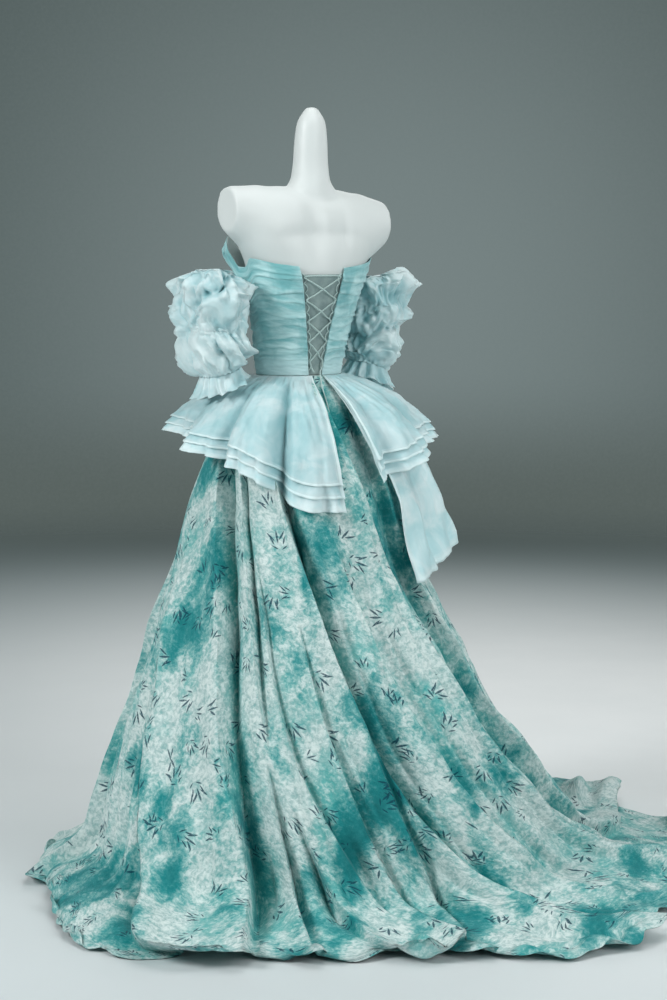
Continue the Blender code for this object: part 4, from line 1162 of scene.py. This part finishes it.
def plain_cloth(name, tone, low, roughness):
    """Plain woven cloth with a slight unevenness."""
    finish = Finish(name, roughness, sheen=0.15)
    soft = finish.noise(finish.place, 30.0, 3.0, 0.6)
    finish.colour(finish.mix(finish.span(soft, 0.3, 0.7), low, tone))
    finish.bump(finish.noise(finish.cloth, 900.0, 2.0, 0.5), 0.0003, 0.6)
    return finish.material


def twisted_cord(tone, low):
    """Satin cord: slanting ridges round it, from a wave along and round the tube, with painted shade in the
    grooves between the twists.
    """
    finish = Finish("Satin cord", 0.40, sheen=0.2)
    wave = finish.add("ShaderNodeTexWave", {"Vector": finish.stretch(finish.cloth, (380.0, 1.0, 1.0)),
                                            "Scale": 1.0, "Distortion": 0.0}, wave_type="BANDS",
                      bands_direction="DIAGONAL").outputs["Fac"]
    finish.colour(finish.mix(wave, low, tone))
    finish.bump(wave, 0.0004, 0.7)
    return finish.material


def form_shell(tone, low):
    """Smooth lacquered shell with a faint unevenness of gloss."""
    finish = Finish("White lacquer", 0.50)
    soft = finish.noise(finish.place, 9.0, 3.0, 0.5)
    finish.put(finish.shader.inputs["Roughness"], finish.span(soft, 0.3, 0.7, 0.44, 0.56))
    finish.colour(finish.mix(finish.span(soft, 0.35, 0.75, 0.0, 0.12), tone, low))
    finish.bump(finish.noise(finish.place, 60.0, 2.0, 0.5), 0.0004, 0.25)
    return finish.material


def painted_stand(tone, low):
    """Powder-painted steel: a fine grain, and slightly darker patches."""
    finish = Finish("Painted steel", 0.42)
    soft = finish.noise(finish.place, 12.0, 3.0, 0.5)
    finish.colour(finish.mix(finish.span(soft, 0.3, 0.8, 0.0, 0.3), tone, low))
    finish.bump(finish.noise(finish.place, 420.0, 2.0, 0.5), 0.0002, 0.5)
    return finish.material


def length_setting(name, description, value):
    """A size of the dress in metres that the panel shows."""
    return FloatProperty(name=name, description=description, default=value, unit="LENGTH")


def colour_setting(name, description, value):
    """A colour of the dress that the panel shows."""
    return FloatVectorProperty(name=name, description=description, size=4, default=value, min=0.0, max=1.0,
                               subtype="COLOR")


class DressSizes(bpy.types.PropertyGroup):
    """Sizes that a user would change"""
    skirt_cloth: length_setting("Skirt cloth", "Thickness of the printed cloth", 0.0016)
    organza: length_setting("Organza", "Thickness of a peplum layer", 0.0007)
    ruche_height: length_setting("Ruche height", "How far the bodice's folds stand up", 0.0062)
    fold_depth: FloatProperty(name="Fine folds", description="Depth of the fine folds, as a share",
                              default=1.0, subtype="FACTOR")
    cord_radius: length_setting("Cord radius", "Radius of the lacing cord", 0.0015)
    loop_radius: length_setting("Loop radius", "Radius of the rouleau loops", 0.0011)


class DressColours(bpy.types.PropertyGroup):
    """Colours that a user would change"""
    ground: colour_setting("Ground", "Pale ground of the print", srgb(206, 222, 220))
    # Ground low and relief: partly the cloth's scroll, partly painted shade between the relief and painted
    # highlight on it.
    ground_low: colour_setting("Ground, low", "Ground between the brushed relief", srgb(146, 184, 183))
    relief: colour_setting("Relief", "Brushed relief", srgb(228, 240, 237))
    wash: colour_setting("Wash", "Soft wash", srgb(70, 170, 167))
    blotch: colour_setting("Blotch", "Deep blotches", srgb(0, 132, 135))
    blotch_core: colour_setting("Blotch, core", "Darkest middle of a blotch", srgb(0, 104, 108))
    leaf: colour_setting("Leaf", "Leaf sprigs", srgb(0, 66, 84))
    organza: colour_setting("Organza", "Peplums and sleeves", srgb(234, 251, 253))
    organza_shade: colour_setting("Organza, shade", "Deeper tone of the peplums", srgb(200, 238, 242))
    # Painted shade in the hollows of the organza's folds.
    organza_hollow_shade: colour_setting("Organza, hollow", "Tone in the hollows of folds", srgb(112, 186, 194))
    # Paler rolled hems, and painted highlight on the sleeves' crests.
    organza_hem_and_highlight: colour_setting("Organza, crest", "Tone of hems and crests", srgb(236, 249, 249))
    sleeve_shade: colour_setting("Sleeve, shade", "Deeper tone of the sleeves", srgb(184, 228, 233))
    # Ruched is the painted highlight end of the folds. Ruched low is their painted shade end, and also the
    # bodice's random deeper tone.
    ruched: colour_setting("Ruched", "Light tone of the bodice", srgb(198, 232, 233))
    ruched_low: colour_setting("Ruched, low", "Deep tone of the bodice", srgb(104, 176, 180))
    ruched_blot: colour_setting("Ruched, blot", "Deepest tone of the bodice", srgb(66, 148, 154))
    waist_band: colour_setting("Waist band", "Pale band at the bodice's waist", srgb(206, 236, 238))
    lining: colour_setting("Lining", "Lining of the bodice", srgb(236, 243, 241))
    lining_low: colour_setting("Lining, low", "Deeper tone of the lining", srgb(222, 234, 233))
    modesty: colour_setting("Modesty panel", "Panel behind the lacing", srgb(150, 170, 168))
    modesty_low: colour_setting("Modesty panel, low", "Deeper tone of that panel", srgb(118, 140, 140))
    cord: colour_setting("Cord", "Lacing and loops", srgb(200, 222, 218))
    # Painted shade in the grooves between the cord's twists.
    cord_groove_shade: colour_setting("Cord, low", "Tone between the cord's twists", srgb(150, 180, 178))
    form: colour_setting("Form", "Shell of the form", srgb(214, 221, 220))
    form_low: colour_setting("Form, patches", "Faint patches on the shell", srgb(214, 222, 222))
    stand: colour_setting("Stand", "Pole and base", srgb(176, 182, 184))
    stand_low: colour_setting("Stand, patches", "Darker patches of the paint", srgb(120, 126, 128))


class PROM_OT_form(bpy.types.Operator):
    """Dress form: the shell is a torso and a shoulder yoke melted together, on a painted pole and base"""
    bl_idname = "prom_dress.form"
    bl_label = "Dress form"

    def execute(self, context):
        """Torso rings up to the neck's cap, ovals across the shoulders, and soft bells of relief behind."""
        colours = context.scene.dress_colours
        shell = form_shell(colours.form, colours.form_low)
        heights = np.concatenate([np.linspace(0.930, 1.685, 90), [1.692, 1.698, 1.704, 1.708]])
        rings = torso(np.arange(96) * 3.75, heights[:, None])
        neck = rings[90]
        neck_tip = np.array([0.0, NECK_TIP_Y, 0.0])
        for share, height in NECK_CAP:
            cap = neck_tip + (neck - neck_tip) * share
            cap[:, 2] = height
            rings = np.concatenate([rings, [cap]])
        body = lofted("form_shell", shell, rings)

        across = np.linspace(-1.0, 1.0, 61)[:, None]
        turn = np.radians(np.arange(48) * 7.5)
        centre_z, half_height, half_depth, centre_y = (
            curve(np.abs(across), column(YOKE_SECTIONS, 0), column(YOKE_SECTIONS, k)) for k in range(1, 5))
        drop = RIGHT_SHOULDER_DROP * np.maximum(-across, 0.0) ** 1.5
        yoke = lofted("yoke_cutter", shell, np.stack([
            across * SHOULDER_SPAN / 2.0 + 0.0 * turn, centre_y + half_depth * np.cos(turn),
            centre_z - drop + half_height * np.sin(turn)], axis=-1))
        modifier(body, "Shoulders", "BOOLEAN", operation="UNION", solver="EXACT", object=yoke)
        modifier(body, "Melt", "REMESH", mode="VOXEL", voxel_size=0.0050, use_smooth_shade=True)
        modifier(body, "Ease", "SMOOTH", factor=0.6, iterations=8)
        finished = bpy.data.meshes.new_from_object(body.evaluated_get(context.evaluated_depsgraph_get()))
        body.modifiers.clear()
        body.data = finished
        bpy.data.objects.remove(yoke)

        places = np.zeros(3 * len(finished.vertices))
        finished.vertices.foreach_get("co", places)
        places = places.reshape(-1, 3)
        behind = smooth((places[:, 1] - 0.02) / 0.04)
        for x, z, wide, tall, height in BACK_RELIEF:
            places[:, 1] += height * bell(places[:, 0] - x, wide) * bell(places[:, 2] - z, tall) * behind
        finished.vertices.foreach_set("co", places.ravel())
        finished.update()
        finished.shade_smooth()
        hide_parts("form_torso")
        steel = painted_stand(colours.stand, colours.stand_low)
        for node in ("form_pole", "form_base"):
            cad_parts[node].data.materials.clear()
            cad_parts[node].data.materials.append(steel)
        return {"FINISHED"}


class PROM_OT_bodice(bpy.types.Operator):
    """Bodice: three ruched panels whose folds are slanting sharp-edged waves, the lining and the modesty
    panel"""
    bl_idname = "prom_dress.bodice"
    bl_label = "Bodice"

    def execute(self, context):
        """Each panel is the bodice's surface, covered with ruches that flatten out at its top and foot."""
        sizes, colours = context.scene.dress_sizes, context.scene.dress_colours
        ruched = ruched_cloth(colours)
        rows = np.linspace(0.0, 1.0, BODICE_ROWS)
        half_gap = math.degrees(SEAM_GAP / 2.0 / BODICE_RADIUS)
        panels = (
            # name, first and last angle, columns, way in which the folds lean
            ("bodice_front", -180.0 - SIDE_SEAM, SIDE_SEAM, 110, 1.0),
            ("bodice_back_left", SIDE_SEAM, gap_edge("left", rows), 80, 1.0),
            ("bodice_back_right", gap_edge("right", rows), 180.0 - SIDE_SEAM, 80, -1.0),
        )
        for number, (name, first, last, columns, lean) in enumerate(panels):
            angle, down = grid(first + half_gap, last - half_gap, columns, rows)
            inner = bodice(angle, down)
            out = normals(bodice, angle, np.clip(down, 0.003, 0.997))
            across = (angle - angle[:, :1]) / (angle[:, -1:] - angle[:, :1])
            place = np.stack([np.radians(angle) * BODICE_RADIUS * 0.36, down * BODICE_HEIGHT,
                              number + 0.0 * down], axis=-1)
            ridge = ruches(place, across, down, lean)
            ends = smooth(down / 0.04) * smooth((1.0 - down) / 0.05)
            fine = 0.0022 * sway(place * [1.6, 3.0, 1.0], 0.008, 34)
            outer = inner + out * (COVER_CLOTH + (sizes.ruche_height * ridge + fine + 0.0008) * ends)[..., None]
            outer[0, :, 2] = inner[0, :, 2]
            outer[-1, :, 2] = inner[-1, :, 2]
            # The ruches' height goes in as the edge value, which paints highlight on their crests.
            piece = wall("ruched_" + name, ruched, outer, inner, edge=ridge * ends, replaced=(name,),
                         slot="ruched")
            if name == "bodice_front":
                rim, rim_out = inner[:LINING["rows"]], out[:LINING["rows"]]
                rim = rim - rim_out * LINING["gap"]
                cloth = plain_cloth("Lining", colours.lining, colours.lining_low, 0.6)
                piece = wall("lining_front", cloth, rim, rim - rim_out * LINING["cloth"],
                             replaced=("bodice_front_lining",), slot="lining")
        angle, height = grid(MODESTY["low"], MODESTY["high"], 40, np.linspace(MODESTY["top"], MODESTY["foot"], 60))
        inner = torso(angle, height, MODESTY["clearance"])
        outer = torso(angle, height, MODESTY["clearance"] + MODESTY["cloth"])
        cloth = plain_cloth("Modesty cloth", colours.modesty, colours.modesty_low, 0.7)
        piece = wall("panel_modesty", cloth, outer, inner, replaced=("modesty_panel",), slot="modesty")
        return {"FINISHED"}


class PROM_OT_lacing(bpy.types.Operator):
    """Lacing: a scalloped row of loops on both back edges, and a round cord crossed over them"""
    bl_idname = "prom_dress.lacing"
    bl_label = "Lacing"

    def execute(self, context):
        """The loops' line is a row of half sine waves; the cord runs smoothly through its crossings."""
        sizes, colours = context.scene.dress_sizes, context.scene.dress_colours
        satin = twisted_cord(colours.cord, colours.cord_groove_shade)
        inwards = {"left": 1.0, "right": -1.0}
        loop_level = BACK_CLEARANCE + sizes.loop_radius + 0.0002
        steps = np.linspace(0.0, 1.0, 24 * LOOP_COUNT + 1)
        heights = LOOP_ROW["top"] + (LOOP_ROW["foot"] - LOOP_ROW["top"]) * steps
        reach = LOOP_ROW["stand"] + LOOP_ROW["reach"] * np.abs(np.sin(steps * LOOP_COUNT * math.pi)) ** 0.8
        for side in ("left", "right"):
            angles = edge_angle(side, heights) + inwards[side] * np.degrees(reach / BACK_RADIUS)
            line = torso(angles, heights, loop_level)
            swept("rouleau_loops_" + side, satin, line, outwards(line), sizes.loop_radius, 10,
                  replaced=("loops_" + side,), slot="cord")

        over_loops = loop_level + sizes.loop_radius + sizes.cord_radius + 0.0005
        over_cord = over_loops + 2.0 * sizes.cord_radius + 0.0010
        reach = math.degrees(LACE_REACH / BACK_RADIUS)
        strands = ([], [])
        for step, level in enumerate(LACE_LEVELS):
            for number, strand in enumerate(strands):
                side, other = ("left", "right") if (step + number) % 2 == 0 else ("right", "left")
                start = edge_angle(side, level) + inwards[side] * reach
                strand.append(torso(start, level, over_loops))
                if step + 1 < len(LACE_LEVELS):
                    below = LACE_LEVELS[step + 1]
                    end = edge_angle(other, below) + inwards[other] * reach
                    crossing = over_cord if side == "left" else over_loops
                    for share, clearance in ((0.22, over_loops), (0.5, crossing), (0.78, over_loops)):
                        strand.append(torso(start + (end - start) * share, level + (below - level) * share,
                                            clearance))
        top_turn = LACED_GAP["right_top"] - LACED_GAP["left_top"]
        top_bar = [torso(edge_angle("left", LACE_LEVELS[0]) + share * top_turn, LACE_LEVELS[0] + 0.003, over_loops)
                   for share in (0.3, 0.5, 0.7)]
        tuck = over_loops + 0.004
        left_end = [torso(80.0, LACE_TUCK + 0.009, over_loops), torso(82.0, LACE_TUCK, tuck)]
        right_end = [torso(94.0, LACE_TUCK + 0.009, over_loops), torso(91.0, LACE_TUCK, tuck)]
        right_end += [on_skirt(angle, down, sizes.cord_radius + lift) for angle, down, lift in LACE_END]
        line = smooth_line(left_end[::-1] + strands[0][::-1] + top_bar + strands[1] + right_end, 620)
        cord = swept("cord_lacing", satin, line, outwards(line), sizes.cord_radius, 10,
                     replaced=("lacing_cord",), slot="cord")
        return {"FINISHED"}


class PROM_OT_skirt(bpy.types.Operator):
    """Skirt: eight printed panels on one folded surface that is dragged towards the train"""
    bl_idname = "prom_dress.skirt"
    bl_label = "Skirt"

    def execute(self, context):
        """Each panel takes its angles of the skirt's surface, half a seam gap in from both neighbours."""
        sizes, colours = context.scene.dress_sizes, context.scene.dress_colours
        cloth = printed_cloth(colours)
        rows = np.linspace(0.0, 1.0, SKIRT_ROW_COUNT)
        for number, (name, first, last, columns) in enumerate(SKIRT_PANELS):
            angle, down = grid(first, last, columns, rows)
            degree = np.linalg.norm(skirt_base(angle + 0.5, down) - skirt_base(angle - 0.5, down), axis=-1)
            shift = SEAM_GAP / 2.0 / np.maximum(degree, 1e-4)
            angle[:, 0] += shift[:, 0]
            angle[:, -1] -= shift[:, -1]
            step = (last - first) / (columns - 1)
            wide = np.concatenate([angle[:, :1] - step, angle, angle[:, -1:] + step], axis=1)
            points = skirt(wide, np.repeat(rows[:, None], columns + 2, axis=1), sizes.fold_depth)
            out = grid_normals(points)[:, 1:-1]
            outer = points[:, 1:-1]
            inner = outer - out * sizes.skirt_cloth
            inner[0, :, 2] = outer[0, :, 2]
            inner[..., 2] = np.maximum(inner[..., 2], 0.0)
            outer[0, :, 2] -= SEAM_GAP
            inner[0, :, 2] -= SEAM_GAP
            # The depth of the crease valleys goes in as the edge value, which paints shade into the folds'
            # valleys.
            valley = np.clip(creases(angle, down)[0] / 0.07, 0.0, 1.0)
            piece = wall("printed_" + name, cloth, outer, inner, cut_at=2.3 * number, out=out, edge=valley,
                         replaced=(name,), slot="print")
        return {"FINISHED"}


class PROM_OT_peplum(bpy.types.Operator):
    """Peplums: three fluted organza layers on each side, and one long side panel"""
    bl_idname = "prom_dress.peplum"
    bl_label = "Peplums"

    def execute(self, context):
        """Shorter layers lie over longer ones, each a little further out at the waist and at the hem."""
        sizes, colours = context.scene.dress_sizes, context.scene.dress_colours
        solid = organza_cloth("Organza, under layer", colours, colours.organza_shade, 0.96)
        sheer = organza_cloth("Organza, upper layers", colours, colours.organza_shade, 0.70)
        for layer, share, at_waist, at_hem in PEPLUM_LAYERS:
            for side, table, crests in (("left", PEPLUM_LEFT, FLUTES_LEFT),
                                        ("right", PEPLUM_RIGHT, FLUTES_RIGHT)):
                self.layer("peplum_%s_%s" % (side, layer), solid if layer == "under" else sheer, table, crests,
                           136, 38, share, PEPLUM_WAIST[side] + at_waist, at_hem, PEPLUM_SPRING, sizes.organza)
        self.layer("peplum_side_panel", solid, SIDE_PANEL, SIDE_PANEL_FLUTES, 84, 60, 1.0, PANEL_CLEARANCE,
                   PANEL_CLEARANCE, PANEL_SPRING, sizes.organza)
        return {"FINISHED"}

    def layer(self, name, cloth, table, crests, columns, count, share, at_waist, at_hem, spring, thickness):
        """One layer of organza, thicker where its hem and sides are rolled, with painted shade in the hollows
        between its flutes.
        """
        rows = np.concatenate([np.linspace(0.0, 0.985, count), [0.992, 1.0]])
        angle, run = grid(table[0][0], table[-1][0], columns, rows)
        clearance = at_waist + (at_hem - at_waist) * smooth(run * 1.6)
        inner = organza_fall(table, crests, angle, run, share, clearance, spring)
        on_side = np.minimum(np.arange(columns), np.arange(columns)[::-1]) < 2
        rolled = np.maximum(smooth((run - 0.972) / 0.012), 1.0 * on_side)
        outer = inner + grid_normals(inner) * (thickness * (1.0 + 0.8 * rolled))[..., None]
        outer[0, :, 2] = inner[0, :, 2]
        # Painted shade in the hollows between the flutes, passed on as an edge value below 0.
        hollow = np.clip(-flutes(angle, crests) / 0.055, 0.0, 1.0) * smooth(run / 0.25)
        edge = np.where(rolled > 0.1, rolled, -0.8 * hollow)
        piece = wall("organza_" + name, cloth, outer, inner, edge=edge, replaced=(name,), slot="organza")


class PROM_OT_sleeves(bpy.types.Operator):
    """Sleeves: crumpled organza puffs and a cuff frill, rings carried down the arm's line"""
    bl_idname = "prom_dress.sleeves"
    bl_label = "Sleeves"

    def execute(self, context):
        """Two puffs and a frill on each side, each a closed ring of cloth."""
        colours = context.scene.dress_colours
        cloth = organza_cloth("Organza, sleeves", colours, colours.sleeve_shade, 0.93)
        for name, *shape in SLEEVE_PIECES:
            for side in ("left", "right"):
                outer, inner, edge = sleeve_piece(name, side, *shape)
                node = "sleeve_%s_%s" % (side, name)
                piece = wall("organza_" + node, cloth, outer, inner, wrap=True, edge=edge,
                             out=grid_normals(outer, wrap=True), replaced=(node,), slot="organza")
        return {"FINISHED"}


class PROM_OT_stage(bpy.types.Operator):
    """Stage: a pale floor that fades into a plain grey room, soft lights and the camera"""
    bl_idname = "prom_dress.stage"
    bl_label = "Stage"

    def execute(self, context):
        """Set up the floor, the room, the lamps and the camera."""
        scene = context.scene
        self.floor()
        self.backdrop()
        world = bpy.data.worlds.new("Grey room")
        world.use_nodes = True
        scene.world = world
        world.node_tree.nodes["Background"].inputs["Color"].default_value = ROOM_TONES["air"]
        world.node_tree.nodes["Background"].inputs["Strength"].default_value = ROOM_LIGHT
        for name, place, size, power, target in LAMPS:
            light = bpy.data.lights.new(name, "AREA")
            light.size = size
            light.energy = power
            back = unit(np.array(place) - np.array(target))
            aim(bpy.data.objects.new(name, light), place, back, unit(np.cross([0.0, 0.0, 1.0], back)))
        lens = bpy.data.cameras.new("Camera")
        lens.lens = CAMERA_LENS
        scene.camera = bpy.data.objects.new("Camera", lens)
        aim(scene.camera, CAMERA_PLACE, unit(-np.array(CAMERA_FORWARD)), CAMERA_RIGHT)
        scene.view_settings.view_transform = "Standard"
        return {"FINISHED"}

    def floor(self):
        """Flat rings round the dress: a painted pool of light where the lamps meet, painted darker further out,
        and gone before the floor's rim.
        """
        turn = np.arange(96) * 2.0 * math.pi / 96
        radii = FLOOR_RADII[:, None]
        points = np.stack([radii * np.cos(turn), radii * np.sin(turn), FLOOR_LEVEL + 0.0 * radii * turn], axis=-1)
        index = np.arange(points[..., 0].size).reshape(len(radii), 96)
        faces = band(index, np.roll(index, -1, axis=1)).tolist() + [index[0].tolist()]
        paint = Finish("Studio floor", 0.62)
        away = paint.distance(paint.place, (0.0, 0.0, 0.0))
        # Painted pool of light round FLOOR_LIGHT, and painted darkening further out.
        lit = paint.span(paint.distance(paint.place, FLOOR_LIGHT), 0.0, 4.4)
        grain = paint.noise(paint.place, 3.0, 3.0, 0.6)
        tone = paint.mix(lit, FLOOR_TONES["lit"], FLOOR_TONES["away"])
        tone = paint.mix(paint.span(grain, 0.3, 0.7, 0.0, 0.10), tone, FLOOR_TONES["grain"])
        paint.colour(paint.mix(paint.span(away, 2.2, 5.4), tone, FLOOR_TONES["far"]))
        paint.blend(paint.span(away, 4.2, 7.2), paint.add("ShaderNodeBsdfTransparent"))
        stage_piece("studio_floor", points, faces, paint)

    def backdrop(self):
        """Upright curved wall behind the dress, which glows softly round one place and is dark below."""
        turn = np.radians(np.linspace(BACKDROP["first"], BACKDROP["last"], 60))
        heights = np.array([[BACKDROP["low"]], [BACKDROP["high"]]])
        flat = 0.0 * heights
        points = np.stack([BACKDROP["radius"] * np.cos(turn) + flat, BACKDROP["radius"] * np.sin(turn) + flat,
                           heights + 0.0 * turn], axis=-1)
        index = np.arange(120).reshape(2, 60)[::-1]
        paint = Finish("Studio backdrop", 1.0)
        glow = paint.span(paint.distance(paint.place, GLOW_CENTRE), 0.3, 5.0)
        tone = paint.mix(glow, ROOM_TONES["glow"], ROOM_TONES["edge"])
        tone = paint.mix(paint.span(paint.part(paint.place, 2), -0.90, 0.30), ROOM_TONES["low"], tone)
        grain = paint.noise(paint.place, 40.0, 3.0, 0.7)
        tone = paint.mix(paint.span(grain, 0.2, 0.8, 0.0, 0.06), tone, ROOM_TONES["grain"])
        paint.colour((0.0, 0.0, 0.0, 1.0))
        paint.put(paint.shader.inputs["Specular IOR Level"], 0.0)
        paint.put(paint.shader.inputs["Emission Color"], tone)
        paint.put(paint.shader.inputs["Emission Strength"], 1.0)
        faces = np.stack([index[0, :-1], index[0, 1:], index[1, 1:], index[1, :-1]], -1).tolist()
        stage_piece("studio_backdrop", points, faces, paint)


def stage_piece(name, points, faces, paint):
    """Mesh of the stage, which is no part of the object."""
    mesh = bpy.data.meshes.new(name)
    mesh.from_pydata(points.reshape(-1, 3).tolist(), [], faces)
    mesh.materials.append(paint.material)
    item = bpy.data.objects.new(name, mesh)
    bpy.context.scene.collection.objects.link(item)


def aim(item, place, back, right):
    """Put a lamp or the camera at its place, with its Z axis along back and its X axis along right."""
    bpy.context.scene.collection.objects.link(item)
    axes = np.stack([right, np.cross(back, right), back], axis=-1)
    item.matrix_world = Matrix.Translation(place) @ Matrix(axes.tolist()).to_4x4()


class PROM_PT_dress(bpy.types.Panel):
    """Sizes, colours and pieces of the dress"""
    bl_label = "Prom Dress"
    bl_idname = "PROM_PT_dress"
    bl_space_type = "VIEW_3D"
    bl_region_type = "UI"
    bl_category = "Prom Dress"

    def draw(self, context):
        """List every setting and every operator."""
        for group in (context.scene.dress_sizes, context.scene.dress_colours):
            for name in group.__annotations__:
                self.layout.prop(group, name)
        for operator in OPERATORS:
            self.layout.operator(operator.bl_idname)


OPERATORS = (PROM_OT_stage, PROM_OT_lacing, PROM_OT_form, PROM_OT_bodice, PROM_OT_skirt, PROM_OT_peplum,
             PROM_OT_sleeves)
CLASSES = (DressSizes, DressColours) + OPERATORS + (PROM_PT_dress,)


def register():
    """Register the classes and give the scene its settings."""
    for item in CLASSES:
        bpy.utils.register_class(item)
    bpy.types.Scene.dress_sizes = PointerProperty(type=DressSizes)
    bpy.types.Scene.dress_colours = PointerProperty(type=DressColours)


def unregister():
    """Undo register."""
    del bpy.types.Scene.dress_colours
    del bpy.types.Scene.dress_sizes
    for item in reversed(CLASSES):
        bpy.utils.unregister_class(item)


def main():
    """Build every piece in order."""
    register()
    bpy.ops.prom_dress.stage()
    bpy.ops.prom_dress.lacing()
    bpy.ops.prom_dress.form()
    bpy.ops.prom_dress.bodice()
    bpy.ops.prom_dress.skirt()
    bpy.ops.prom_dress.peplum()
    bpy.ops.prom_dress.sleeves()


if __name__ == "__main__":
    main()
